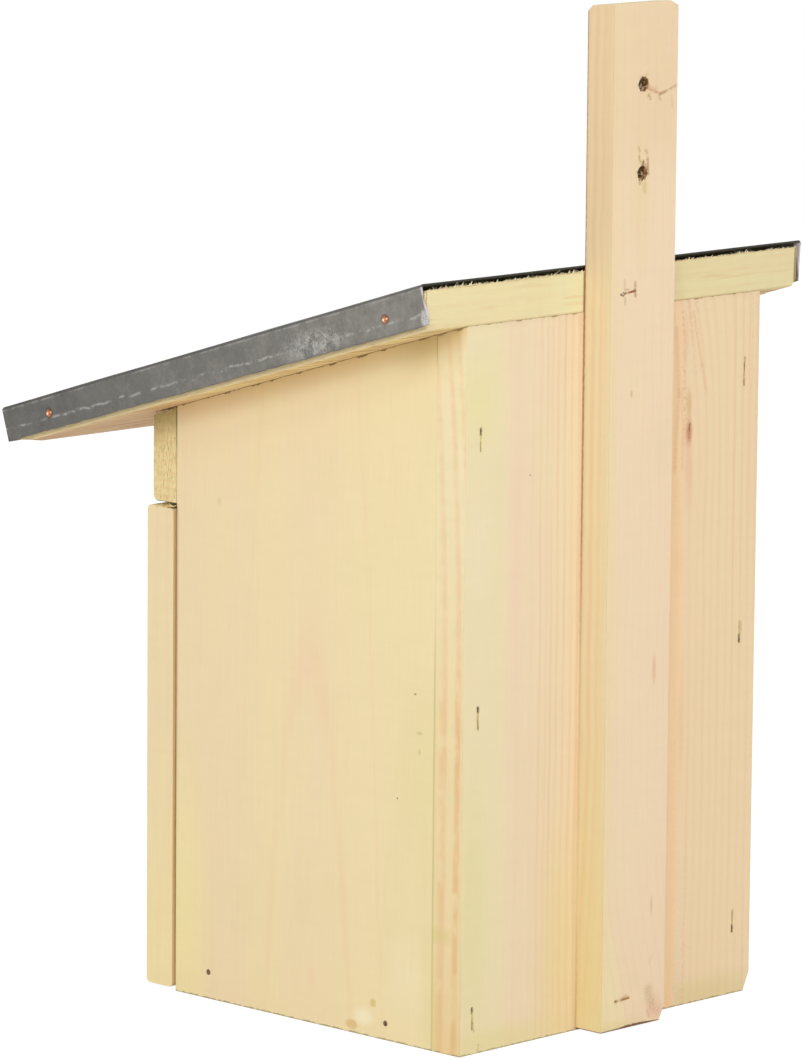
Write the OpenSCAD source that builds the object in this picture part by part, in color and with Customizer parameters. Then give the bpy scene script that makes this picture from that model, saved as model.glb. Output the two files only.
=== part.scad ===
// Nest box with a lean-to roof, a zinc roof sheet and a mounting batten.
// Millimetres. The front faces -Y, the back +Y and +Z is up. The origin lies on the underside,
// in the middle of the box between its side walls. Right is +X, as seen from the front.

/* [Box] */
// Width over the two side walls
box_w = 204; // [150:1:260]
// Depth of a side wall, from its front edge to the back board
side_d = 172.5; // [130:0.5:240]
// Height of the back board at its rear face
back_h = 343.4; // [280:0.1:420]
// Pitch of the roof board, falling to the front
roof_pitch = 16.5; // [8:0.1:20]
// Thickness of a side wall
wall_t = 18; // [12:0.5:24]
// Thickness of the back board
back_t = 18; // [12:0.5:24]
// Thickness of the floor
floor_t = 18; // [12:0.5:24]
// Diameter of the drain holes in the floor
drain_d = 8; // [4:0.5:14]
// Distance of the drain holes from the chamber's walls
drain_inset = 30; // [15:1:35]

/* [Front] */
// Thickness of the door
door_t = 18; // [15:0.5:24]
// Height of the door's lower edge above the underside
door_lift = 1.3; // [1:0.1:5]
// Radius of the door's long edges
door_edge_r = 2.5; // [0.5:0.1:4]
// Gap between the door and the rail above it
rail_gap = 2.4; // [1:0.1:5]
// Height of the rail at its rear face
rail_h = 46; // [20:0.5:60]
// Thickness of the rail
rail_t = 16.3; // [12:0.1:20]
// Gap between the top of the rail and the roof board
rail_top_gap = 1.5; // [0.5:0.1:4]
// Radius of the rail's lower front edge
rail_edge_r = 3; // [0.5:0.1:4]
// Diameter of the entrance hole
entrance_d = 45; // [26:1:60]
// Distance of the entrance hole's centre below the door's top
entrance_down = 50.5; // [40:0.5:80]
// Width of the chamfer round the entrance hole
entrance_chamfer = 1.2; // [0.5:0.1:2]

/* [Roof] */
// Thickness of the roof board
roof_t = 18; // [12:0.5:24]
// Overhang of the roof board at each side
roof_side = 26.2; // [10:0.1:60]
// Overhang of the roof board in front of the door
roof_front = 64.5; // [30:0.5:100]
// Thickness of the zinc sheet
zinc_t = 0.8; // [0.6:0.1:1.5]
// Gap between the roof board's sides and the flanges
zinc_gap = 2.8; // [2:0.1:10]
// Offset of the zinc sheet to the right
zinc_shift = 0.2; // [-1:0.1:1]
// Height of the roof board's edge below the flanges at the front
front_reveal = 2; // [0.5:0.1:4]
// Height of the roof board's edge below the flanges at the rear
rear_reveal = 2; // [0.5:0.1:4]
// Outside radius of the folds in the zinc sheet
fold_r = 1.6; // [1.6:0.1:3]
// Height that the zinc sheet stands off the roof board at the rear
zinc_rise = 2.2; // [0.5:0.1:4]
// Gap between the zinc sheet and the batten
zinc_back_gap = 0.3; // [0.2:0.1:3]

/* [Batten] */
// Height of the mounting batten above the roof board's rear edge
batten_above = 125.5; // [100:0.5:250]
// Width of the mounting batten
batten_w = 44.4; // [36:0.1:60]
// Thickness of the mounting batten
batten_t = 16.3; // [12:0.1:24]
// Height of the batten's lower end above the underside
batten_lift = 1; // [0:0.1:5]
// Diameter of the hanging holes
hanging_d = 6.5; // [4:0.5:10]
// Distance of the upper hanging hole from the batten's top
hanging_top = 38; // [20:0.5:45]
// Distance between the hanging holes
hanging_pitch = 41.5; // [25:0.5:45]
// Offset of the hanging holes to the right
hanging_shift = 1.5; // [-3:0.5:3]

/* [Hinges] */
// Length of a hinge
hinge_l = 40; // [30:1:50]
// Distance of a hinge's middle from the end of the door
hinge_inset = 42; // [30:1:60]
// Width of the wood left bare beside a hinge leaf
leaf_margin = 4; // [1:0.5:5]
// Thickness of a hinge leaf
leaf_t = 1; // [0.8:0.1:1.5]
// Gap between the closed leaves
leaf_gap = 0.4; // [0.2:0.1:1]
// Diameter of the hinge pins
pin_d = 2; // [1.6:0.1:3]
// Gap between the hinge knuckles and the side wall
knuckle_out = 0.5; // [0.3:0.1:2]
// Distance between the screws of a hinge leaf
screw_pitch = 12; // [9:0.5:13]

/* [Fastenings] */
// Length of a staple's crown
crown_l = 11; // [9:0.5:13]
// Width of the staple wire
staple_w = 1.1; // [0.8:0.1:1.5]
// Depth of the staples' crowns below the wood's face
staple_sunk = 0.4; // [0:0.1:1]
// Length of a staple's legs in the piece behind
staple_bite = 8; // [5:0.5:15]
// Diameter of the nails' shanks
nail_d = 1.8; // [1.4:0.1:2.6]
// Diameter of a floor nail's head
floor_nail_head_d = 2.8; // [2.4:0.1:7]
// Length of the floor nails in the floor
floor_nail_bite = 24; // [15:1:40]
// Diameter of a roof nail's head
roof_nail_head_d = 4; // [3:0.1:7]
// Length of the roof nails in the roof board
roof_nail_bite = 18; // [10:1:30]

/* [Hidden] */

$fn = 64;
eps = 0.01;
seat_gap = 0.05;
far = 1000;

// Faces of the box along Y, from the back to the front
y_back = (side_d + back_t) / 2;
y_wall_rear = y_back - back_t;
y_wall_front = y_wall_rear - side_d;
stand_off = 2 * leaf_t + leaf_gap;
y_door_rear = y_wall_front - stand_off;
y_door_front = y_door_rear - door_t;
y_rail_front = y_wall_front - rail_t;
y_batten_rear = y_back + batten_t;

// Faces of the box along X
x_out = box_w / 2;
x_in = x_out - wall_t;

// Roof: the board is cut square at the front and plumb at the rear
roof_w = box_w + 2 * roof_side;
roof_l = (y_back - y_door_front + roof_front) / cos(roof_pitch);
roof_face_h = roof_t / cos(roof_pitch);
zinc_tilt = asin(zinc_rise / roof_l);
zinc_w = roof_w + 2 * (zinc_gap + zinc_t);
zinc_l = (roof_l * cos(roof_pitch) + roof_t * sin(roof_pitch) - zinc_back_gap) / cos(roof_pitch + zinc_tilt);
fold_in_r = fold_r - zinc_t;

// Front: the rail hangs below the roof board and the door closes what is left
rail_z = under_roof(y_wall_front) - rail_top_gap - rail_h;
door_h = rail_z - rail_gap - door_lift;
entrance_z = door_lift + door_h - entrance_down;

// Roof board's worn lower corners, at the front on the right and at the rear on the left: each
// chip's length along X, Y and Z
roof_chip = [17, 12, 2.2];
roof_rear_chip = [3.4, 9, 3.2];

// Batten: its top falls a little to the front, and three of its corners are broken off
batten_top = back_h + roof_face_h + batten_above;
batten_fall = 1.3;
batten_chip = [3.6, 8, 6.5];
batten_rear_chip = [5, 12, 2.4];
batten_front_chip = [5, 2.6, 2.4];

// Back board, and its lower corner that is broken off on the left
back_chip = [4.2, 7, 9];

// Hinges
low_hinge_z = door_lift + hinge_inset;
high_hinge_z = door_lift + door_h - hinge_inset;
knuckle_r = pin_d / 2 + leaf_t;
hinge_x = -(x_out + knuckle_out + knuckle_r);
hinge_y = y_wall_front - stand_off / 2;
leaf_w = wall_t - leaf_margin;
knuckles = 5;
knuckle_h = hinge_l / knuckles;
knuckle_gap = 0.2;
screw_r = 1.3;
screw_head_r = 2.4;
screw_l = 12;

// Fastenings. A back staple has its height and its distance from the box's outer face.
back_staples_right = [[17, 8.4], [159.4, 10.4], [back_h - 53.7, 10.4]];
back_staples_left = [[36, 12.8], [178.6, 11], [back_h - 40, 10.3]];
// A batten staple has its place along X, its height and its tilt
batten_staples = [[7.5, 15.1, 2], [10, back_h + roof_face_h / 2, 6]];
rail_staple_inset = wall_t / 2;
// A floor nail has its place along Y and its height
floor_nails = [[y_wall_front + 22.8, floor_t / 2 + 4], [y_wall_rear - 30.2, floor_t / 2 - 1]];
// Places of the roof nails down the slope, from the roof board's rear lower edge
roof_nails = [-roof_l + 31, -21];
roof_nail_up = roof_t / 2 + 0.9;
floor_nail_head_t = 0.6;
roof_nail_head_t = 1.2;

// ---- Helpers ----

// Height of the roof board's underside at a given y
function under_roof(y) = back_h + (y - y_back) * tan(roof_pitch);

// Local frame on the roof board: its rear lower edge is the origin and -Y runs down the slope
module on_roof() {
    translate([0, y_back, back_h])
        rotate([roof_pitch, 0, 0])
            children();
}

// Local frame on the zinc sheet: its underside meets the roof board's upper front edge at y = 0
module on_zinc() {
    on_roof()
        translate([0, -roof_l, roof_t])
            rotate([zinc_tilt, 0, 0])
                children();
}

// Flat outline in Y and Z, extruded along X from x0 over a width w
module along_x(x0, w) {
    translate([x0, 0, 0])
        rotate([90, 0, 90])
            linear_extrude(height = w)
                children();
}

// Rectangle from [0, 0] to [w, h] whose listed corners are round
module round_rect(w, h, r_low_left, r_low_right, r_high_right, r_high_left) {
    difference() {
        square([w, h]);
        corner_cut(0, 0, 1, 1, r_low_left);
        corner_cut(w, 0, -1, 1, r_low_right);
        corner_cut(w, h, -1, -1, r_high_right);
        corner_cut(0, h, 1, -1, r_high_left);
    }
}

// What a rounding of radius r takes off a corner that opens towards sx, sy
module corner_cut(x, y, sx, sy, r) {
    if (r > 0)
        translate([x, y])
            difference() {
                translate([sx > 0 ? -eps : -r, sy > 0 ? -eps : -r])
                    square(r + eps);
                translate([sx * r, sy * r])
                    circle(r);
            }
}

// What breaks off a corner: a flat cut through the points that lie c.x, c.y and c.z from it
module chip(corner, into, c) {
    n = [into.x / c.x, into.y / c.y, into.z / c.z];
    s = 2 * max(c);
    translate(corner)
        rotate([0, acos(n.z / norm(n)), atan2(n.y, n.x)])
            translate([-s, -s, -s])
                cube([2 * s, 2 * s, s + 1 / norm(n)]);
}

// Staple over the XZ plane at y = 0, with its crown along X and its legs along -Y, through a
// piece of thickness t. In a seat, the crown's slot is open to the face.
module staple(t, seat = false) {
    leg = t + staple_bite;
    for (side = [-1, 1])
        translate([side * (crown_l - staple_w) / 2 - staple_w / 2, -leg, -staple_w / 2])
            cube([staple_w, leg - staple_sunk, staple_w]);
    translate([-crown_l / 2, -staple_sunk - staple_w, -staple_w / 2])
        cube([crown_l, staple_w + (seat ? staple_sunk + 1 : 0), staple_w]);
}

// Upright staple in the back board, over the rear edge of a side wall
module back_staple(side, place, seat = false) {
    translate([side * (x_out - place[1]), y_back, place[0]])
        rotate([0, 90, 0])
            staple(back_t, seat);
}

// Staple through the batten, tilted as it was driven
module batten_staple(place, seat = false) {
    translate([place[0], y_batten_rear, place[1]])
        rotate([0, place[2], 0])
            staple(batten_t, seat);
}

// Staple through the rail into the front edge of a side wall
module rail_staple(side, seat = false) {
    z = (rail_z + under_roof(y_rail_front)) / 2;
    translate([side * (x_out - rail_staple_inset), y_rail_front, z])
        rotate([0, 90, 180])
            staple(rail_t, seat);
}

// Nail with a low domed head on x = 0 and its shank along -X; in a seat only a wider shank
module nail(head_d, head_t, length, seat = false) {
    rotate([0, -90, 0])
        cylinder(d = nail_d + (seat ? 2 * seat_gap : 0), h = length);
    if (!seat)
        rotate([0, 90, 0])
            rotate_extrude()
                intersection() {
                    square([head_d / 2, head_t]);
                    translate([0, head_t - dome_r(head_d, head_t)])
                        circle(dome_r(head_d, head_t));
                }
}

// Radius of a dome of the given width and height
function dome_r(d, t) = (d * d / 4 + t * t) / (2 * t);

module floor_nail(side, place, seat = false) {
    translate([side * x_out, place[0], place[1]])
        mirror([side < 0 ? 1 : 0, 0, 0])
            nail(floor_nail_head_d, floor_nail_head_t, wall_t + floor_nail_bite, seat);
}

module roof_nail(side, place, seat = false) {
    on_roof()
        translate([zinc_shift + side * zinc_w / 2, place, roof_nail_up])
            mirror([side < 0 ? 1 : 0, 0, 0])
                nail(roof_nail_head_d, roof_nail_head_t, zinc_t + zinc_gap + roof_nail_bite, seat);
}

// ---- Boards ----

module floor_board() {
    color("burlywood")
        difference() {
            translate([-x_in, y_wall_front, 0])
                cube([2 * x_in, side_d, floor_t]);
            for (x = [-1, 1], y = [y_wall_front + drain_inset, y_wall_rear - drain_inset])
                translate([x * (x_in - drain_inset), y, -eps])
                    cylinder(d = drain_d, h = floor_t + 2 * eps);
            for (side = [-1, 1], place = floor_nails)
                floor_nail(side, place, true);
        }
}

module side_wall(side) {
    color("burlywood")
        difference() {
            along_x(side > 0 ? x_in : -x_out, wall_t)
                polygon([
                    [y_wall_front, 0], [y_wall_rear, 0],
                    [y_wall_rear, under_roof(y_wall_rear)],
                    [y_wall_front, under_roof(y_wall_front)]
                ]);
            for (place = floor_nails)
                floor_nail(side, place, true);
            for (place = side > 0 ? back_staples_right : back_staples_left)
                back_staple(side, place, true);
            rail_staple(side, true);
            if (side < 0)
                for (z = [low_hinge_z, high_hinge_z])
                    hinge_wall_screws(z, seat_gap);
        }
}

module side_wall_right() {
    side_wall(1);
}

module side_wall_left() {
    side_wall(-1);
}

module back_board() {
    color("burlywood")
        difference() {
            along_x(-x_out, box_w)
                polygon([
                    [y_wall_rear, 0], [y_back, 0],
                    [y_back, under_roof(y_back)],
                    [y_wall_rear, under_roof(y_wall_rear)]
                ]);
            for (place = back_staples_right)
                back_staple(1, place, true);
            for (place = back_staples_left)
                back_staple(-1, place, true);
            batten_staple(batten_staples[0], true);
            chip([-x_out, y_back, 0], [1, -1, 1], back_chip);
        }
}

module front_rail() {
    color("burlywood")
        difference() {
            along_x(-x_out, box_w)
                difference() {
                    translate([y_rail_front, rail_z])
                        round_rect(rail_t, rail_h + rail_top_gap, rail_edge_r, 0, 0, 0);
                    polygon([
                        [y_rail_front - 1, under_roof(y_rail_front - 1) - rail_top_gap],
                        [y_wall_front + 1, under_roof(y_wall_front + 1) - rail_top_gap],
                        [y_wall_front + 1, far], [y_rail_front - 1, far]
                    ]);
                }
            for (side = [-1, 1])
                rail_staple(side, true);
        }
}

module front_door() {
    r = door_edge_r;
    color("burlywood")
        difference() {
            along_x(-x_out, box_w)
                translate([y_door_front, door_lift])
                    round_rect(door_t, door_h, r, r, r, r);
            translate([0, y_door_rear + eps, entrance_z])
                rotate([90, 0, 0])
                    cylinder(d = entrance_d, h = door_t + 2 * eps);
            for (face = [[y_door_front, 1], [y_door_rear, -1]])
                translate([0, face[0], entrance_z])
                    rotate([-90 * face[1], 0, 0])
                        entrance_chamfer_cone();
            for (z = [low_hinge_z, high_hinge_z])
                hinge_door_screws(z, seat_gap);
        }
}

// Cone that chamfers one mouth of the entrance hole, opening towards -Z
module entrance_chamfer_cone() {
    c = entrance_chamfer;
    translate([0, 0, -eps])
        cylinder(r1 = entrance_d / 2 + c + eps, r2 = entrance_d / 2, h = c + eps);
}

module roof_board() {
    x = roof_w / 2;
    y_low = y_back - roof_l * cos(roof_pitch);
    y_high = y_low - roof_t * sin(roof_pitch);
    color("burlywood")
        difference() {
            along_x(-x, roof_w)
                polygon([
                    [y_low, under_roof(y_low)], [y_back, back_h], [y_back, back_h + roof_face_h],
                    [y_high, under_roof(y_high) + roof_face_h]
                ]);
            for (side = [-1, 1], place = roof_nails)
                roof_nail(side, place, true);
            batten_staple(batten_staples[1], true);
            on_roof()
                chip([x, -roof_l, 0], [-1, 1, 1], roof_chip);
            chip([-x, y_back, back_h], [1, -1, 1], roof_rear_chip);
        }
}

// ---- Zinc sheet ----

// Solid pan with a rounded rim, from y0 to y1: half width w, top at z0 and fold radius r
module zinc_pan(w, y0, y1, z0, r) {
    depth = 2 * (roof_t + zinc_rise);
    intersection() {
        translate([0, y1, 0])
            rotate([90, 0, 0])
                linear_extrude(height = y1 - y0)
                    translate([-w, z0 - depth])
                        round_rect(2 * w, depth, 0, 0, r, r);
        along_x(-w, 2 * w)
            translate([y0, z0 - depth])
                round_rect(y1 - y0, depth, 0, 0, 0, r);
    }
}

module zinc_sheet() {
    w = zinc_w / 2;
    y0 = -fold_in_r - zinc_t;
    color("slategray")
        difference() {
            on_zinc()
                translate([zinc_shift, 0, 0])
                    difference() {
                        zinc_pan(w, y0, zinc_l, zinc_t, fold_r);
                        zinc_pan(w - zinc_t, y0 + zinc_t, zinc_l + 10, 0, fold_in_r);
                        along_x(-w - 1, 2 * w + 2)
                            polygon([
                                [y0 - 1, front_reveal - roof_t],
                                [zinc_l + 1, rear_reveal - roof_t - zinc_rise],
                                [zinc_l + 1, -far], [y0 - 1, -far]
                            ]);
                    }
            for (side = [-1, 1], place = roof_nails)
                roof_nail(side, place, true);
            plumb_cut();
        }
}

// Space behind the roof board's rear face that the left flange is cut back from, below the fold
module plumb_cut() {
    x0 = zinc_shift - zinc_w / 2;
    z1 = back_h + roof_face_h + zinc_rise - fold_r;
    translate([x0 - 1, y_back - zinc_back_gap, z1 - 2 * roof_t])
        cube([zinc_t + 2, roof_t, 2 * roof_t]);
}

// ---- Batten ----

module mounting_batten() {
    color("burlywood")
        difference() {
            along_x(-batten_w / 2, batten_w)
                polygon([
                    [y_back, batten_lift], [y_batten_rear, batten_lift],
                    [y_batten_rear, batten_top], [y_back, batten_top - batten_fall]
                ]);
            for (z = [batten_top - hanging_top, batten_top - hanging_top - hanging_pitch])
                translate([hanging_shift, y_batten_rear + eps, z])
                    rotate([90, 0, 0])
                        cylinder(d = hanging_d, h = batten_t + 2 * eps);
            for (place = batten_staples)
                batten_staple(place, true);
            chip([-batten_w / 2, y_batten_rear, batten_lift], [1, -1, 1], batten_chip);
            chip([-batten_w / 2, y_batten_rear, batten_top], [1, -1, -1], batten_rear_chip);
            chip([batten_w / 2, y_back, batten_top - batten_fall], [-1, 1, -1], batten_front_chip);
        }
}

// ---- Hinges ----

// Leaf on the hinge axis, closed. side 1 is the wall's leaf and side -1 the door's.
module hinge_leaf(z, side) {
    y0 = side > 0 ? y_wall_front - leaf_t : y_door_rear;
    color("silver")
        difference() {
            union() {
                difference() {
                    translate([hinge_x, y0, z - hinge_l / 2])
                        cube([leaf_w - x_out - hinge_x, leaf_t, hinge_l]);
                    for (i = [0 : knuckles - 1])
                        if (own_knuckle(i, side) == false)
                            knuckle(z, i, knuckle_r + 2 * knuckle_gap, knuckle_h + knuckle_gap);
                }
                for (i = [0 : knuckles - 1])
                    if (own_knuckle(i, side))
                        knuckle(z, i, knuckle_r, knuckle_h - knuckle_gap);
            }
            translate([hinge_x, hinge_y, z - hinge_l])
                cylinder(d = pin_d + 2 * seat_gap, h = 2 * hinge_l);
            if (side > 0)
                hinge_wall_screws(z, seat_gap);
            else
                hinge_door_screws(z, seat_gap);
        }
}

// Whether a knuckle, counted from below, belongs to the leaf on this side
function own_knuckle(i, side) = (i % 2 == 0) == (side > 0);

module knuckle(z, i, r, h) {
    translate([hinge_x, hinge_y, z - hinge_l / 2 + (i + 0.5) * knuckle_h - h / 2])
        cylinder(r = r, h = h);
}

module hinge_pin(z) {
    color("silver")
        translate([hinge_x, hinge_y, z - hinge_l / 2])
            cylinder(d = pin_d, h = hinge_l);
}

// Countersunk screw along +Z with its head flush at z = 0; g widens it to a seat
module leaf_screw(g = 0) {
    cylinder(r1 = screw_head_r + g, r2 = screw_r + g, h = leaf_t);
    translate([0, 0, leaf_t - eps])
        cylinder(r = screw_r + g, h = screw_l - leaf_t + eps);
    if (g > 0)
        translate([0, 0, -eps])
            cylinder(r = screw_head_r + g, h = 2 * eps);
}

module hinge_wall_screws(z, g = 0) {
    color("silver")
        for (i = [-1 : 1])
            translate([-x_out + leaf_w / 2, y_wall_front - leaf_t, z + i * screw_pitch])
                rotate([-90, 0, 0])
                    leaf_screw(g);
}

module hinge_door_screws(z, g = 0) {
    color("silver")
        for (i = [-1 : 1])
            translate([-x_out + leaf_w / 2, y_door_rear + leaf_t, z + i * screw_pitch])
                rotate([90, 0, 0])
                    leaf_screw(g);
}

// ---- Coloured fastenings ----

module copper_nail(side, place) {
    color("peru") roof_nail(side, place);
}

module steel_nail(side, place) {
    color("gray") floor_nail(side, place);
}

module steel_staple() {
    color("silver") children();
}

// ---- Nodes ----

floor_board();
side_wall_right();
side_wall_left();
back_board();
front_rail();
front_door();
roof_board();
zinc_sheet();
mounting_batten();
hinge_leaf(low_hinge_z, 1);  // low_hinge_wall_leaf
hinge_leaf(low_hinge_z, -1);  // low_hinge_door_leaf
hinge_pin(low_hinge_z);  // low_hinge_pin
hinge_leaf(high_hinge_z, 1);  // high_hinge_wall_leaf
hinge_leaf(high_hinge_z, -1);  // high_hinge_door_leaf
hinge_pin(high_hinge_z);  // high_hinge_pin
hinge_wall_screws(low_hinge_z);  // low_hinge_wall_screws
hinge_door_screws(low_hinge_z);  // low_hinge_door_screws
hinge_wall_screws(high_hinge_z);  // high_hinge_wall_screws
hinge_door_screws(high_hinge_z);  // high_hinge_door_screws
copper_nail(1, roof_nails[0]);  // roof_nail_right_front
copper_nail(1, roof_nails[1]);  // roof_nail_right_rear
copper_nail(-1, roof_nails[0]);  // roof_nail_left_front
copper_nail(-1, roof_nails[1]);  // roof_nail_left_rear
steel_nail(1, floor_nails[0]);  // floor_nail_right_front
steel_nail(1, floor_nails[1]);  // floor_nail_right_rear
steel_nail(-1, floor_nails[0]);  // floor_nail_left_front
steel_nail(-1, floor_nails[1]);  // floor_nail_left_rear
steel_staple() back_staple(1, back_staples_right[0]);  // back_staple_right_low
steel_staple() back_staple(1, back_staples_right[1]);  // back_staple_right_middle
steel_staple() back_staple(1, back_staples_right[2]);  // back_staple_right_high
steel_staple() back_staple(-1, back_staples_left[0]);  // back_staple_left_low
steel_staple() back_staple(-1, back_staples_left[1]);  // back_staple_left_middle
steel_staple() back_staple(-1, back_staples_left[2]);  // back_staple_left_high
steel_staple() batten_staple(batten_staples[0]);  // batten_staple_low
steel_staple() batten_staple(batten_staples[1]);  // batten_staple_high
steel_staple() rail_staple(1);  // rail_staple_right
steel_staple() rail_staple(-1);  // rail_staple_left
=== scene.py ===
"""Nest box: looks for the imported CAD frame. Lengths in the material helpers are millimetres."""
import math
import random

import bmesh
import bpy
from mathutils import Matrix, Vector


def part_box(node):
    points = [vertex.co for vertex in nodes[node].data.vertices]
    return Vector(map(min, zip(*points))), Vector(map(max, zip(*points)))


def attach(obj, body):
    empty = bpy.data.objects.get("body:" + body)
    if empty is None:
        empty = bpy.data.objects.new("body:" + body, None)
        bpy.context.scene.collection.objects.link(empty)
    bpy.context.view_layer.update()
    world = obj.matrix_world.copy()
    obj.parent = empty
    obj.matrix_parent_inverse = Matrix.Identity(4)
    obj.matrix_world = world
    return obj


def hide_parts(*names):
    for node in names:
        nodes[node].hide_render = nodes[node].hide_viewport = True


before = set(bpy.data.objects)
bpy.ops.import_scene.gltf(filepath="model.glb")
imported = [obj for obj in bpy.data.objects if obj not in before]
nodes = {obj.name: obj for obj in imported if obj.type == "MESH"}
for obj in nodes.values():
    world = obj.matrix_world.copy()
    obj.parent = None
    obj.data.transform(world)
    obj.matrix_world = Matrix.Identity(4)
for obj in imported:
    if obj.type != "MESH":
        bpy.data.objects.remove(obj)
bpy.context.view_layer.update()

# Sizes of the frame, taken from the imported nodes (mm)
LOW, HIGH = {}, {}
for n in nodes:
    a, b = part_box(n)
    LOW[n], HIGH[n] = [c * 1000 for c in a], [c * 1000 for c in b]
X_OUT = HIGH["side_wall_right"][0]
Y_BACK = HIGH["back_board"][1]
Y_FRONT = LOW["side_wall_right"][1]
BACK_H = HIGH["back_board"][2]
BATTEN_X, BATTEN_Y, BATTEN_TOP = HIGH["mounting_batten"]
BOARD = 18  # thickness of the roof board
PITCH = math.radians(16.5)  # slope of the roof
TAN = math.tan(PITCH)
ROOF_X = HIGH["roof_board"][0]
HOLES = (BATTEN_TOP - 38, BATTEN_TOP - 79.5)  # heights of the hanging holes
HOLE_A = 20.7  # their torn rims' place across the batten
SHADE = 13.0  # the roof's shade reaches this far down the walls
DIRTY = 215  # the rear corner is dirty below this height


def linear(c):
    """An 8-bit (r, g, b) made linear for a node; anything else is left as it is."""
    if not isinstance(c, tuple):
        return c
    return tuple(v / 12.92 if v <= 0.04045 else ((v + 0.055) / 1.055) ** 2.4 for v in (x / 255 for x in c)) + (1,)


def clamp(v):
    return max(0.0, min(1.0, v))


def toward(az, el):
    """Unit vector towards an azimuth (0 is the front, 90 the right) and an elevation, in degrees."""
    a, e = math.radians(az), math.radians(el)
    return Vector((math.sin(a) * math.cos(e), -math.cos(a) * math.cos(e), math.sin(e)))


def put(name, data):
    """A new object in the scene."""
    o = bpy.data.objects.new(name, data)
    bpy.context.scene.collection.objects.link(o)
    return o


def piece(name, bm, mat):
    """A finished mesh as a new object."""
    me = bpy.data.meshes.new(name)
    bm.to_mesh(me)
    bm.free()
    me.materials.append(mat)
    return put(name, me)


# -------- node helpers


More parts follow.
